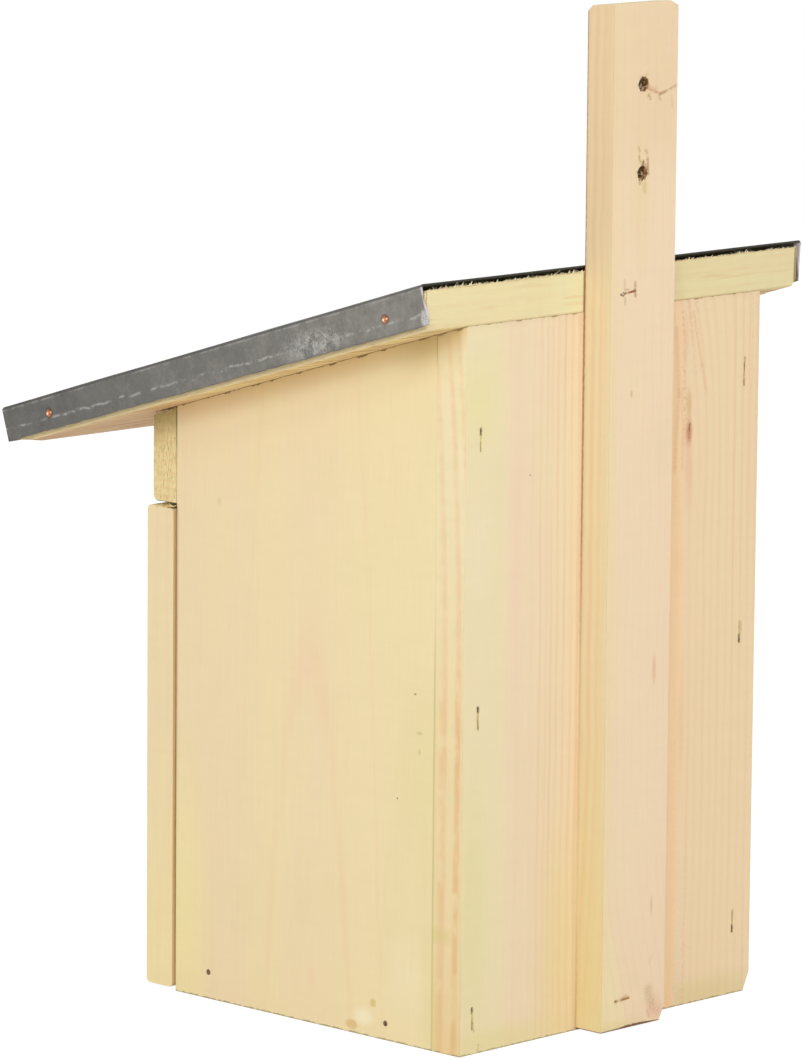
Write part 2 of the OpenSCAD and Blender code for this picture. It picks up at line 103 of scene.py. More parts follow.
class Net:
    """Short calls that add linked nodes to one material, or to the world."""

    def __init__(self, name, kind=bpy.data.materials):
        self.mat = kind.new(name)
        self.mat.use_nodes = True
        self.tree = self.mat.node_tree
        self.tree.nodes.clear()

    def add(self, kind, ins=None, out=0, **props):
        n = self.tree.nodes.new("ShaderNode" + kind)
        for k, v in props.items():
            setattr(n, k, v)
        for k, v in (ins or {}).items():
            if isinstance(v, bpy.types.NodeSocket):
                self.tree.links.new(v, n.inputs[k])
            else:
                n.inputs[k].default_value = v
        return n.outputs[out]

    def m(self, op, a, b=0.0, c=0.0):
        return self.add("Math", {0: a, 1: b, 2: c}, operation=op)

    def plus(self, *v):
        r = v[0]
        for x in v[1:]:
            r = self.m("ADD", r, x)
        return r

    def times(self, *v):
        r = v[0]
        for x in v[1:]:
            r = self.m("MULTIPLY", r, x)
        return r

    def step(self, v, lo, hi, a=0.0, b=1.0):
        return self.add("MapRange", {0: v, 1: lo, 2: hi, 3: a, 4: b}, interpolation_type="SMOOTHSTEP")

    def vec(self, x, y, z):
        return self.add("CombineXYZ", {0: x, 1: y, 2: z})

    def vm(self, op, a, b=(0, 0, 0), out=0):
        return self.add("VectorMath", {0: a, 1: b}, out, operation=op)

    def length(self, v):
        return self.vm("LENGTH", v, out=1)

    def ball(self, v, centre, sizes):
        """Distance from centre, in units of the three sizes."""
        return self.length(self.vm("MULTIPLY", self.vm("SUBTRACT", v, centre), tuple(1 / x for x in sizes)))

    def split(self, v):
        n = self.tree.nodes.new("ShaderNodeSeparateXYZ")
        self.tree.links.new(v, n.inputs[0])
        return n.outputs[0], n.outputs[1], n.outputs[2]

    def mix(self, f, a, b, blend="MIX"):
        return self.add("Mix", {0: f, 6: linear(a), 7: linear(b)}, 2, data_type="RGBA", blend_type=blend)

    def noise(self, v, scale=1.0, detail=2.0, rough=0.5):
        return self.add("TexNoise", {"Vector": v, "Scale": scale, "Detail": detail, "Roughness": rough})

    def grain(self, x, y, z, detail=2.0, rough=0.5):
        """Noise stretched axis by axis: each is a number, a socket or (socket, factor)."""
        at = [self.times(*v) if isinstance(v, tuple) else v for v in (x, y, z)]
        return self.noise(self.vec(*at), 1, detail, rough)

    def swing(self, noise, k):
        """Noise about its middle, times k."""
        return self.times(self.plus(noise, -0.5), k)

    def off(self, v, place):
        """Distance from place."""
        return self.m("ABSOLUTE", self.plus(v, -place))

    def curve(self, v, pts, smooth=False):
        """Value read off a curve through pts."""
        lo, hi = pts[0][0], pts[-1][0]
        ys = [p[1] for p in pts]
        y0, y1 = min(ys), max(max(ys), min(ys) + 1e-6)
        n = self.tree.nodes.new("ShaderNodeFloatCurve")
        c = n.mapping.curves[0]
        xy = [((p[0] - lo) / (hi - lo), (p[1] - y0) / (y1 - y0)) for p in pts]
        while len(c.points) < len(xy):
            c.points.new(0.5, 0.5)
        for p, q in zip(c.points, xy):
            p.location = q
            p.handle_type = "AUTO" if smooth else "VECTOR"
        n.mapping.update()
        self.tree.links.new(self.add("MapRange", {0: v, 1: lo, 2: hi}), n.inputs[1])
        return self.plus(self.times(n.outputs[0], y1 - y0), y0)

    def bands(self, v, lo, hi, items):
        """Soft lines at (place, width before, width after, strength), on a curve from lo to hi."""
        pts = [(lo, 0.0)]
        for p, w1, w2, s in items:
            a = p - w1
            if a <= pts[-1][0] + 0.05:
                x, _ = pts.pop()
                a = max((a + x) / 2, pts[-1][0] + 0.1 if pts else lo)
                pts.append((a, 0.3 * s if pts else 0.0))
            else:
                pts.append((a, 0.0))
            pts += [(p, s), (p + w2, 0.0)]
        pts.append((max(hi, pts[-1][0] + 1), 0.0))
        return self.curve(v, pts, smooth=True)

    def scratches(self, A, L, face, items):
        """Marks for torn or dirty lines: items are (A, L, end's A, end's L, half width, colour, strength)."""
        rag = self.noise(self.vec(A, L, 0), 1.5, 4, 0.7)
        keep = self.step(self.noise(self.vec(A, L, 9), 1.1, 3, 0.6), 0.3, 0.56)
        out = []
        for a, l, a2, l2, wide, colour, k in items:
            d = self.vec(self.plus(A, -a), self.plus(L, -l), 0)
            e = (a2 - a, l2 - l, 0)
            t = self.m("DIVIDE", self.vm("DOT_PRODUCT", d, e, out=1), e[0] ** 2 + e[1] ** 2)
            t = self.m("MINIMUM", self.m("MAXIMUM", t, 0.0), 1.0)
            foot = self.add("VectorMath", {0: e, 3: t}, operation="SCALE")
            r = self.plus(self.length(self.vm("SUBTRACT", d, foot)), self.swing(rag, 1.2 + wide))
            out.append((colour, self.step(r, wide * 1.25, wide * 0.15), keep, face, k))
        return out

    def ramp(self, v, stops):
        n = self.tree.nodes.new("ShaderNodeValToRGB")
        e = n.color_ramp.elements
        while len(e) < len(stops):
            e.new(0.5)
        for el, (p, c) in zip(e, stops):
            el.position = p
            el.color = linear(c) if isinstance(c, tuple) else (c, c, c, 1)
        self.tree.links.new(v, n.inputs[0])
        return n.outputs[0]

    def coords(self, turn=None):
        """Object place and normal in mm, turned about (centre, angle) so that a sloping board lies flat."""
        p = self.add("VectorMath", {0: self.add("TexCoord", out="Object"), 3: 1000.0}, operation="SCALE")
        nrm = self.add("TexCoord", out="Normal")
        if turn:
            centre, angle = turn
            p = self.add("VectorRotate", {"Vector": p, "Center": centre, "Axis": (1, 0, 0), "Angle": angle})
            nrm = self.add("VectorRotate", {"Vector": nrm, "Axis": (1, 0, 0), "Angle": angle})
        return p, nrm

    def finish(self, colour, rough, bump, metallic=0.0, bump_mm=0.1, spec=0.5):
        h = self.add("Bump", {"Height": bump, "Strength": 1.0, "Distance": bump_mm / 1000})
        b = self.add("BsdfPrincipled", {"Base Color": colour, "Roughness": rough, "Metallic": metallic,
                                        "Specular IOR Level": spec, "Normal": h})
        return self.output(b)

    def output(self, shader, kind="OutputMaterial"):
        self.tree.links.new(shader, self.tree.nodes.new("ShaderNode" + kind).inputs[0])
        return self.mat


# -------- wood

PALE = (237, 219, 172)
PINK = (238, 212, 178)
OLIVE = (228, 215, 160)
LINE = (227, 186, 142)
DARKLINE = (210, 154, 106)
# dark brown: dirt at the batten's lower hole and upper staple, dashes under the roof on the side wall, painted
# shade under the roof on the back board's edge
GRIME_AND_SHADE = (116, 90, 46)
MOSS = (128, 122, 70)
SOIL, WIRE, FAINT = (112, 90, 48), (186, 170, 114), (222, 204, 150)
# HOLE_SHADE: painted shade inside the batten's hanging holes
HOLE_SHADE = (128, 90, 44)
FACING = 0.7  # a face whose normal has more than this along an axis looks that way
UPRIGHT = ("+z", 0)
PLAIN_EDGE = {"lines": [-60, 60], "profile": [(0.0, 0.0), (1.0, 0.0)]}

# Strength of a growth line over one ring
LATE = [(0.0, 0.1), (0.3, 0.0), (0.55, 0.25), (0.75, 0.8), (0.86, 1.0), (0.94, 0.7), (1.0, 0.1)]


def wood(name, axes, faces, tone, spots=(), marks=None, end_tint=OLIVE, end_grain=(0.9, 0.9), seed=0, turn=None,
         pale=PALE, pink=PINK, line=LINE, bend=None):
    """Solid pine. axes says where a point lies across (A), through (T) and along (L) the grain, each as
    ("+x", shift). faces is {"broad"|"edge": pattern}. tone runs across the board from pale (0) to pink (1).
    spots are stained or torn places, some of them painted light: (A, T, L, three half sizes, colour, strength,
    softness). marks returns more of them as (colour, mask, mask ...), stains, dirt, painted shade and painted
    light, and is told where a face is an edge, a broad face or an end."""
    g = Net(name)
    p, nrm = g.coords(turn)
    at, looks = dict(zip("xyz", g.split(p))), dict(zip("xyz", g.split(nrm)))
    A0, T, L = [g.plus(g.times(at[way[1]], float(way[0] + "1")), shift) for way, shift in axes]
    on_edge, on_broad, on_end = [g.m("GREATER_THAN", g.m("ABSOLUTE", looks[way[1]]), FACING) for way, _ in axes]
    A = bend(g, A0, T, L) if bend else A0
    P = g.vec(A0, T, L)
    # slow wander of the grain along the board
    slow = g.grain((A, 0.012), (T, 0.012), g.plus(g.times(L, 0.009), seed * 7.3))
    fast = g.grain((A, 0.05), (T, 0.05), g.plus(g.times(L, 0.035), seed * 3.1))
    fibre = g.grain((A, 1.6), (T, 1.6), (L, 0.035), 3, 0.6)
    streak = g.grain((A, 0.35), (T, 0.35), g.plus(g.times(L, 0.006), seed))
    blotch = g.grain((A, 0.025), (T, 0.025), g.plus(g.times(L, 0.012), seed * 2))
    cross = g.grain((A, 0.05), (T, 0.05), g.plus(g.times(L, 0.22), seed * 5))
    patterns = {}
    for face, q in faces.items():
        wav = q.get("wave", 4.0)
        u = {"broad": A, "edge": T}[face]
        u = g.plus(u, g.swing(slow, wav), g.swing(fast, wav * q.get("rough", 0.4)))
        if "bands" in q:
            f = g.plus(*[g.bands(u, *run) for run in q["bands"]])
        else:
            if "rings" in q:
                a0, t0, tilt, gap, off = q["rings"]
                dt = g.plus(T, g.times(L, tilt), t0)
                da = g.plus(A, g.swing(slow, wav), -a0)
                r = g.m("SQRT", g.plus(g.times(da, da), g.times(dt, dt)))
                phase = g.times(g.plus(r, -off), 1.0 / gap)
            else:
                phase = g.curve(u, [(x, i) for i, x in enumerate(q["lines"])])
            f = g.ramp(g.m("FRACT", phase), q.get("profile", LATE))
            if "amp" in q:
                f = g.times(f, g.curve(u, q["amp"]))
        f = g.times(f, g.step(g.plus(streak, g.times(blotch, 0.6)), 0.45, 1.0, 0.55, 1.2))
        if "along" in q:
            f = g.times(f, g.curve(L, q["along"], smooth=True))
        patterns[face] = f
    lines = patterns["broad"]
    if "edge" in patterns:
        lines = g.add("Mix", {0: on_edge, 2: lines, 3: patterns["edge"]})
    # base tone: pale to pink across the board, with streaks and blotches
    t = g.curve(A, tone, smooth=True)
    t = g.plus(t, g.swing(streak, 0.5), g.swing(blotch, 0.7))
    col = g.mix(g.step(t, 0.0, 1.0), pale, pink)
    col = g.mix(g.times(g.step(blotch, 0.5, 0.8), 0.35), col, OLIVE)
    col = g.mix(g.step(lines, 0.0, 1.0), col, line)
    col = g.mix(g.step(lines, 1.0, 2.0), col, DARKLINE)
    shade = g.plus(g.swing(fibre, 0.075), g.swing(cross, 0.035), 1.0)
    # sawn ends: darker, greener, with torn fibre ends
    pits = g.grain(g.times(A, end_grain[0]), g.times(T, end_grain[1]), 0, 4, 0.65)
    endc = g.mix(g.step(pits, 0.5, 0.72), end_tint, (168, 146, 88))
    col = g.mix(on_end, col, g.mix(g.times(lines, 0.3), endc, LINE))
    rag = g.plus(g.noise(P, 0.6, 2), -0.5)
    for *where, c, k, soft in spots:
        d = g.plus(g.ball(P, where[:3], where[3:]), g.times(rag, 0.9 * (1 - soft) + 0.2))
        col = g.mix(g.times(g.step(d, 1.0, max(0.02, 1 - soft)), k), col, c)
    torn = 0.0
    for c, *masks in marks(g, A0, T, L, on_edge, on_broad, on_end) if marks else ():
        mask = g.times(*masks)
        col = g.mix(mask, col, c)
        torn = g.m("MAXIMUM", torn, mask)
    col = g.mix(1.0, col, g.add("CombineColor", {0: shade, 1: shade, 2: shade}), "MULTIPLY")
    height = g.plus(g.times(fibre, 0.6), g.times(lines, 0.25), g.times(pits, on_end, 3.0), g.times(torn, -1.5))
    return g.finish(col, g.plus(g.times(fibre, 0.15), 0.52), height, bump_mm=0.12, spec=0.25)


def spaced(lo, hi, gap, jitter=0.2, seed=1):
    r = random.Random(seed)
    xs = [lo]
    while xs[-1] < hi:
        xs.append(round(xs[-1] + gap * (1 + jitter * (2 * r.random() - 1)), 1))
    return xs


def edge_dirt_and_shade(g, e, along, wide, seed, lo=0.42, hi=0.56, scale=0.16):
    """Broken dark line on the wood where e, the distance from its edge, is small: dirt along the bottoms, painted
    shade in the joints under the roof and the zinc.
    """
    n = g.grain((along, scale), seed, 0, 3, 0.6)
    f = g.grain((along, 1.1), seed, 3)
    w = g.times(g.step(n, lo, hi, 0.25, 1.0), g.plus(f, 0.4), wide)
    return g.step(g.plus(e, g.times(w, -1.0)), 0.25, -0.2)


# Right side wall: plain-sawn, a tongue of grain in the middle
def side_marks(g, A, T, L, *_):
    under = g.plus(g.times(g.plus(A, Y_FRONT - Y_BACK), TAN), g.times(L, -1.0), BACK_H)
    out = g.step(T, 1.5, 0.5)
    # seam: dirt on the rear edge low down, and near the roof a stronger painted shade
    seam = g.plus(g.step(L, DIRTY, 165, 0.15, 1.0), g.times(g.step(L, 318, 336), 2.2))
    return [
        ((218, 214, 150), g.step(A, 160.0, 172.5), g.step(L, DIRTY, 120), 0.25),
        # painted light: a paler band about SHADE below the roof
        ((252, 232, 186), g.step(g.off(under, SHADE), 8.0, 1.0), 0.3),
        # painted shade: dark line down the front edge, in the gap beside the door
        ((190, 150, 94), g.step(A, 1.3, 0.3), g.step(L, 240, 236), g.step(L, 30, 190, 0.1, 0.55)),
        # painted shade under the roof, warm brown, and stronger towards the rear corner
        ((226, 188, 122), g.step(under, SHADE, -2.0), 0.5, g.step(T, 17.0, 16.0)),
        ((196, 170, 112), g.step(under, 24.0, 2.0), g.step(A, 136, 168), out, 0.62),
        (GRIME_AND_SHADE, edge_dirt_and_shade(g, under, A, 1.1, 1.0, 0.49, 0.6, 0.1), out, 0.8),
        (MOSS, edge_dirt_and_shade(g, L, A, 0.8, 2.0), out, 0.7),
        ((160, 138, 82), g.step(A, 171.6, 172.4), seam, 0.35),
    ]


RING = [(0.0, 0.0), (0.38, 0.0), (0.46, 0.85), (0.5, 1.0), (0.57, 0.5), (0.68, 0.0), (1.0, 0.0)]
side_spots = [
    (134, 0, 16.5, 2.6, 6, 2.6, (216, 188, 120), 0.75, 0.5), (128, 0, 9, 9, 8, 6, (243, 234, 200), 0.75, 0.7),
    (120, 0, 4, 5, 8, 3, (214, 182, 118), 0.7, 0.5), (29, 0, 244, 2.2, 6, 3.2, (222, 196, 148), 0.4, 0.8),
    (160, 0, 130, 18, 10, 80, OLIVE, 0.5, 0.9), (155, 0, 30, 20, 10, 30, (239, 227, 188), 0.4, 0.9),
    (90, 0, 170, 8, 6, 13, (240, 207, 178), 0.5, 0.9), (93, 0, 22, 4, 6, 8, (240, 204, 172), 0.4, 0.9),
    (6, 0, 40, 22, 20, 110, (240, 226, 160), 0.55, 0.9), (160, 0, 168, 1.0, 3, 0.7, (158, 140, 84), 0.8, 0.5),
    (149, 0, 117, 0.5, 3, 0.5, (120, 104, 58), 0.9, 0.5), (163, 0, 150, 2.5, 3, 1.0, (196, 186, 126), 0.5, 0.5),
    (163, 0, 141, 1.0, 3, 2.0, (196, 186, 126), 0.5, 0.5),
]
m_side = wood("pine_side_right", (("+y", -Y_FRONT), ("-x", X_OUT), UPRIGHT), {
    "broad": {"rings": (90, 95.54, 0.0245, 8.0, 7.96), "profile": RING,
              "amp": [(-60, 0.14), (45, 0.16), (62, 0.27), (118, 0.27), (150, 0.12), (240, 0.1)]},
    "edge": {"lines": spaced(-4, 24, 5, 0.3, 3), "wave": 3.0}},
    [(0, 0.42), (40, 0.5), (60, 0.3), (90, 0.45), (120, 0.25), (172.5, 0.1)], side_spots, side_marks, seed=1,
    line=(238, 194, 152))
m_side_l = wood("pine_side_left", (("+y", -Y_FRONT), ("+x", X_OUT), UPRIGHT), {
    "broad": {"rings": (70, 88, 0.03, 7.0, 2.0), "profile": RING, "wave": 6.0,
              "amp": [(-60, 0.2), (70, 0.4), (240, 0.3)]},
    "edge": {"lines": spaced(-4, 24, 5, 0.3, 5), "wave": 3.0}},
    [(0, 0.2), (60, 0.6), (120, 0.35), (172.5, 0.2)],
    [(40, 0, 210, 5, 9, 8, (206, 156, 112), 0.8, 0.6), (40, 0, 210, 1.6, 9, 3, (150, 96, 64), 0.9, 0.5)],
    side_marks, seed=4, line=(232, 190, 148))


# Back board: soft lines of grain, one strong line beside the batten, a small knot on the left
KNOT_A = 154.5  # the knot's place across the back board


def back_bend(g, A, T, L):
    # the grain swings round the knot, and across it higher up
    near = g.step(g.ball(g.vec(A, 0, L), (KNOT_A, 0, 286), (15, 1, 38)), 1.7, 0.0)
    w = g.times(near, g.plus(A, -KNOT_A), -0.4)
    lean = g.times(g.curve(L, [(0, 0), (230, 0), (290, 3), (344, 9)], smooth=True), g.step(A, 128, 150))
    return g.plus(A, w, g.times(lean, g.step(A, 200, 158)))


def edge_bend(g, T, L):
    return g.plus(T, g.times(g.curve(L, [(0, 0.8), (73, 0.2), (136, -0.3), (199, 0), (277, 3), (316, 6), (344, 9)],
                                     smooth=True), -1.0))


def back_marks(g, A, T, L, *_):
    under = g.plus(g.times(T, -TAN), g.times(L, -1.0), BACK_H)
    rear, side = g.step(T, 1.0, 0.4), g.step(A, 1.0, 0.4)
    beside = g.off(A, X_OUT - BATTEN_X - 0.35)
    far = g.off(A, X_OUT + BATTEN_X + 0.3)
    seam = g.times(g.step(T, 17.2, 17.8), g.step(L, DIRTY, 165, 0.15, 1.0), side)
    u = edge_bend(g, T, L)
    block = g.grain(0, (T, 0.12), (L, 0.07))
    grey = g.grain((T, 0.1), 4.0, (L, 0.16))
    stain = g.times(g.bands(u, -12, 30, [(3.4, 3.2, 3.0, 1.0), (12.8, 4.4, 4.0, 0.6)]), side)
    low = g.curve(L, [(0, 1.0), (40, 0.9), (60, 0.6), (75, 1.0), (100, 0.5), (136, 0.9), (170, 0.8), (185, 0.2),
                      (344, 0.0)])
    pink = g.times(g.bands(u, -12, 30, [(-3.5, 2.6, 2.4, 0.6), (3.0, 2.8, 2.4, 0.75), (11.8, 2.8, 2.6, 0.6),
                                        (18.4, 2.0, 2.0, 0.5)]), side, g.step(grey, 0.25, 0.6, 0.35, 1.0))
    knot = g.plus(A, -KNOT_A)
    rag = g.swing(g.grain((A, 0.3), 0, (L, 0.12), 3), 2.4)
    return [
        ((234, 205, 148), side, g.step(L, 280, 120), 0.45),
        ((224, 218, 166), side, g.step(grey, 0.5, 0.7), 0.4),
        ((234, 196, 154), pink, 0.7),
        ((226, 180, 126), stain, low, g.step(block, 0.34, 0.54), 0.75),
        ((226, 196, 138), side, g.step(L, 60, 0), 0.45),
        ((210, 196, 120), side, g.step(g.off(L, 56), 6.5, 0.5), g.step(T, 3, 10), 0.4),
        # painted shade under the roof: on the edge face, stronger near the rear corner, and thinly on the rear face
        ((226, 188, 122), g.step(under, SHADE, -2.0), side, 0.5),
        ((196, 170, 112), g.step(under, 24.0, 2.0), g.step(T, 1.0, 5.0), side, 0.42),
        ((196, 160, 100), g.step(under, 4.0, -1.0), rear, 0.12),
        ((160, 138, 82), seam, 0.35),
        ((214, 208, 140), g.step(T, 14.0, 18.0), side, g.step(L, DIRTY, 120), 0.3),
        # painted shade: broken dark lines in the joint under the roof board, on the rear face and the edge face
        ((132, 102, 56), edge_dirt_and_shade(g, under, A, 0.8, 5.0, 0.47, 0.62), rear, 0.7),
        (GRIME_AND_SHADE, edge_dirt_and_shade(g, under, T, 1.5, 6.0, 0.44, 0.6), side, 0.6),
        # painted shade: dark line in the joint beside the batten, stronger higher up, with a soft halo
        (g.mix(g.step(L, 60, 260), (172, 136, 74), (150, 84, 44)),
         g.step(g.plus(beside, g.times(g.grain(0, 1.0, (L, 0.3), 3), 0.7)), 0.95, 0.5), rear,
         g.curve(L, [(0, 0.4), (60, 0.1), (170, 0.2), (240, 0.6), (340, 0.8)])),
        ((214, 172, 122), g.step(beside, 3.5, 0.5), rear, 0.2),
        # painted shade: dark line beside the batten's far side
        ((176, 130, 84), g.step(far, 0.6, 0.2), rear, 0.35),
        (MOSS, edge_dirt_and_shade(g, L, g.plus(A, T), 0.8, 8.0), g.m("MAXIMUM", rear, side), 0.6),
        ((232, 186, 150),
         g.bands(g.plus(A, g.swing(g.grain(0, 3.0, (L, 0.012)), 5.0)), 180, 210,
                 [(187.5, 1.6, 1.2, 0.8), (192.8, 1.4, 1.4, 0.6), (197.6, 1.6, 1.2, 1.0), (203.0, 2.0, 2.0, 0.9)]),
         rear, g.step(L, 120, 290), 0.26),
        # knot: yellow-brown tail, reddish body
        ((214, 170, 108),
         g.step(g.length(g.vec(g.times(g.plus(knot, rag), 0.42), g.times(g.plus(L, -293), 0.1), 0)), 1.2, 0.1),
         rear, 0.55),
        ((204, 142, 108),
         g.step(g.length(g.vec(g.times(g.plus(knot, rag), 0.3), g.times(g.plus(L, -279.4), 0.12), 0)), 1.15, 0.1),
         rear, 0.8),
    ] + g.scratches(A, L, rear, [
        (154.9, 283.2, 154.3, 279.8, 0.75, (126, 72, 48), 0.85),
        (154.2, 281.0, 154.6, 276.0, 0.9, (184, 116, 88), 0.6),
        (149.0, 300.0, 150.5, 281.0, 1.4, (220, 160, 126), 0.25),
        (150.5, 281.0, 150.0, 262.0, 1.4, (220, 162, 128), 0.28),
        (144.5, 330.0, 146.8, 298.0, 1.8, (222, 168, 134), 0.35),
        (146.6, 300.0, 144.6, 262.0, 1.8, (222, 166, 132), 0.35),
        (156.5, 337.0, 163.0, 311.0, 1.3, (224, 174, 140), 0.38),
        (163.0, 311.0, 166.6, 298.0, 1.3, (226, 180, 146), 0.35),
        # dirt on and beside the staples
        (10.4, 295.0, 10.4, 292.4, 1.1, SOIL, 0.8), (9.6, 290.4, 9.7, 284.4, 0.6, (246, 238, 204), 0.6),
        (10.3, 164.4, 10.4, 162.6, 1.1, SOIL, 0.9), (10.0, 160.4, 10.6, 154.4, 0.9, WIRE, 0.8),
        (8.3, 22.0, 8.4, 20.4, 1.0, SOIL, 0.85), (8.5, 18.4, 9.0, 15.0, 0.9, WIRE, 0.6),
        (9.0, 15.0, 9.6, 10.8, 0.7, WIRE, 0.7), (9.6, 18.6, 9.9, 14.6, 0.7, (244, 234, 196), 0.7),
        (193.9, 311.6, 193.7, 307.6, 0.8, (160, 112, 70), 0.7),
        (193.4, 303.6, 193.5, 299.6, 0.8, (146, 100, 60), 0.8), (194.4, 183.2, 194.0, 177.6, 0.6, WIRE, 0.6),
        (192.8, 176.6, 193.0, 173.6, 1.1, SOIL, 0.9), (191.6, 41.8, 191.4, 35.0, 0.6, WIRE, 0.6),
        (191.2, 33.6, 191.2, 31.0, 1.0, SOIL, 0.85), (13.0, 4.0, 12.4, 1.0, 0.6, MOSS, 0.35),
    ])


BACK_RIGHT = [(36, 4, 5, 0.14), (46, 2.4, 1.2, 0.16), (51.8, 2.4, 1.0, 0.32), (56, 2.2, 1.0, 0.28),
              (59.4, 2.0, 1.0, 0.34), (63.4, 2.2, 1.0, 0.32), (68, 2.4, 1.0, 0.4), (73, 2.4, 1.0, 0.36),
              (77.4, 2.2, 1.0, 0.4), (82, 2.4, 1.0, 0.4), (87, 2.4, 1.0, 0.4), (92, 2.4, 1.0, 0.4)]
BACK_LEFT = [(141.5, 3, 1.2, 0.68), (146.4, 3.4, 4.2, 0.85), (156, 2.4, 1.6, 0.68), (161.6, 2.4, 1.2, 0.55),
             (166.8, 2.4, 1.2, 0.72), (172, 2.2, 1.2, 0.57), (177.2, 2.4, 1.2, 0.68), (182.6, 2.4, 1.2, 0.55),
             (187.8, 2.4, 1.2, 0.64), (193.4, 2.4, 1.2, 0.55), (199, 2.4, 1.2, 0.61), (204.4, 2.2, 1.2, 0.57)]
back_spots = [
    # first spot here: a paler tone beyond the batten, partly painted light against the batten's shadow
    (178, 0, 172, 40, 4, 260, (243, 217, 176), 0.75, 0.3), (154.5, 0, 262, 5, 8, 26, (236, 190, 158), 0.5, 0.9),
    (150, 0, 325, 5, 8, 20, (233, 190, 150), 0.5, 0.9), (148, 0, 216, 5, 8, 18, (230, 188, 142), 0.55, 0.9),
    (44, 0, 270, 0.5, 3, 0.6, (140, 104, 74), 0.9, 0.5), (10, 0, 308, 22, 9, 34, (235, 224, 166), 0.6, 0.9),
    (10, 0, 238, 16, 9, 34, (240, 224, 188), 0.6, 0.9), (8, 0, 70, 16, 9, 90, (228, 220, 160), 0.6, 0.9),
    (36, 0, 230, 9, 9, 120, (240, 212, 184), 0.5, 0.9), (170, 0, 4, 60, 12, 12, (222, 204, 146), 0.5, 0.9),
    (30, 0, 4, 60, 12, 12, (226, 214, 150), 0.5, 0.9), (66, 0, 40, 20, 4, 90, (235, 214, 150), 0.5, 0.9),
    # first spot here: painted light beside the batten, against its shadow
    (145, 0, 172, 8, 4, 260, (252, 216, 170), 0.8, 0.3), (152, 0, 140, 3, 6, 46, (236, 202, 160), 0.5, 0.9),
]
m_back = wood("pine_back", (("-x", X_OUT), ("-y", Y_BACK), UPRIGHT), {
    "broad": {"bands": [(20, 100, BACK_RIGHT), (130, 210, BACK_LEFT)], "wave": 3.0, "rough": 0.5},
    "edge": PLAIN_EDGE},
    [(0, 0.05), (24, 0.1), (34, 0.6), (80, 0.5), (140, 0.6), (150, 0.8), (175, 0.5), (204, 0.45)],
    back_spots, back_marks, seed=2, bend=back_bend, line=(232, 188, 144), pale=(237, 221, 180),
    pink=(240, 214, 184))


# Batten: pinkish, faint lines that swing towards a knot in the lower left corner
BROWN, DARK, DIRT, TORN = (208, 156, 120), (168, 120, 82), (192, 166, 110), (250, 236, 206)
UPPER_STAPLE = 352.8  # its height
BATTEN_TORN = [  # (height from which the rows count, rows)
    # the crack from the upper hole to the batten's edge, and torn bits under it
    (HOLES[0], [
        (23.0, -1.6, 29.4, -3.6, 1.9, (220, 172, 134), 0.6), (24.0, -2.4, 30.4, -4.4, 0.7, BROWN, 0.7),
        (30.0, -4.2, 32.6, -5.1, 0.7, BROWN, 0.8), (32.2, -5.2, 36.6, -4.2, 0.9, DARK, 0.8),
        (36.6, -4.2, 40.0, -3.0, 0.7, BROWN, 0.6), (40.0, -3.0, 44.6, -1.6, 0.9, DARK, 0.45),
        (24.6, -5.4, 25.6, -6.8, 1.2, DIRT, 0.8), (31.4, -5.8, 32.6, -8.0, 0.9, DIRT, 0.6),
        (40.4, -7.0, 41.0, -11.4, 0.8, DIRT, 0.35), (22.0, 3.6, 23.6, 5.4, 1.0, DIRT, 0.35),
        (17.2, 2.0, 17.4, -3.0, 0.6, TORN, 0.6), (23.4, 1.6, 24.6, -1.0, 0.9, DARK, 0.5),
    ]),
    # torn fibres round the lower hole
    (HOLES[1], [
        (17.0, 3.0, 17.4, -3.6, 0.6, TORN, 0.6),
        (21.4, 5.2, 21.0, 3.8, 1.1, GRIME_AND_SHADE, 0.9), (18.4, 8.2, 19.2, 5.4, 0.9, DIRT, 0.8),
        (18.2, 12.0, 19.0, 10.2, 0.9, DIRT, 0.7), (23.0, 10.4, 24.0, 9.2, 1.1, DIRT, 0.6),
        (24.4, 6.4, 24.8, -0.6, 1.1, DARK, 0.7), (22.6, 3.6, 24.6, 2.0, 1.0, DARK, 0.7),
        (18.8, -3.4, 19.4, -4.8, 1.0, DARK, 0.6), (22.6, -5.4, 23.0, -8.0, 1.8, (222, 202, 132), 0.8),
    ]),
    # upper staple: its legs tore the wood above and below
    (UPPER_STAPLE, [
        (10.0, 1.6, 9.8, 6.0, 0.9, (224, 188, 156), 0.6), (10.2, -2.4, 10.4, -5.2, 0.8, DIRT, 0.6),
        (16.9, 1.0, 17.1, 4.2, 1.0, BROWN, 0.9), (16.9, 0.6, 17.4, -1.8, 1.0, (188, 124, 94), 0.8),
        (10.0, 1.4, 12.6, 1.6, 0.7, BROWN, 0.6), (8.8, -0.8, 9.0, -0.2, 1.1, GRIME_AND_SHADE, 0.9),
    ]),
    # lower staple, and the knot in the lower corner
    (0, [
        (10.2, 14.6, 10.8, 14.8, 1.2, DARK, 0.55), (14.6, 15.2, 17.8, 16.0, 1.8, DARK, 0.45),
        (33.4, 17.0, 34.4, 11.6, 3.6, (214, 186, 146), 0.7), (34.8, 10.4, 34.6, 8.0, 0.8, BROWN, 0.6),
        (32.6, 7.0, 34.0, 4.0, 0.9, BROWN, 0.5), (36.4, 11.0, 37.0, 7.0, 1.0, (206, 164, 136), 0.5),
        (35.0, 7.0, 41.0, 5.6, 4.0, (232, 186, 160), 0.5), (33.6, 30.0, 36.4, 34.0, 0.9, (220, 186, 146), 0.3),
    ]),
]


def batten_bend(g, A, T, L):
    k = g.step(L, 110, 0)
    return g.plus(A, g.times(k, k, -15))


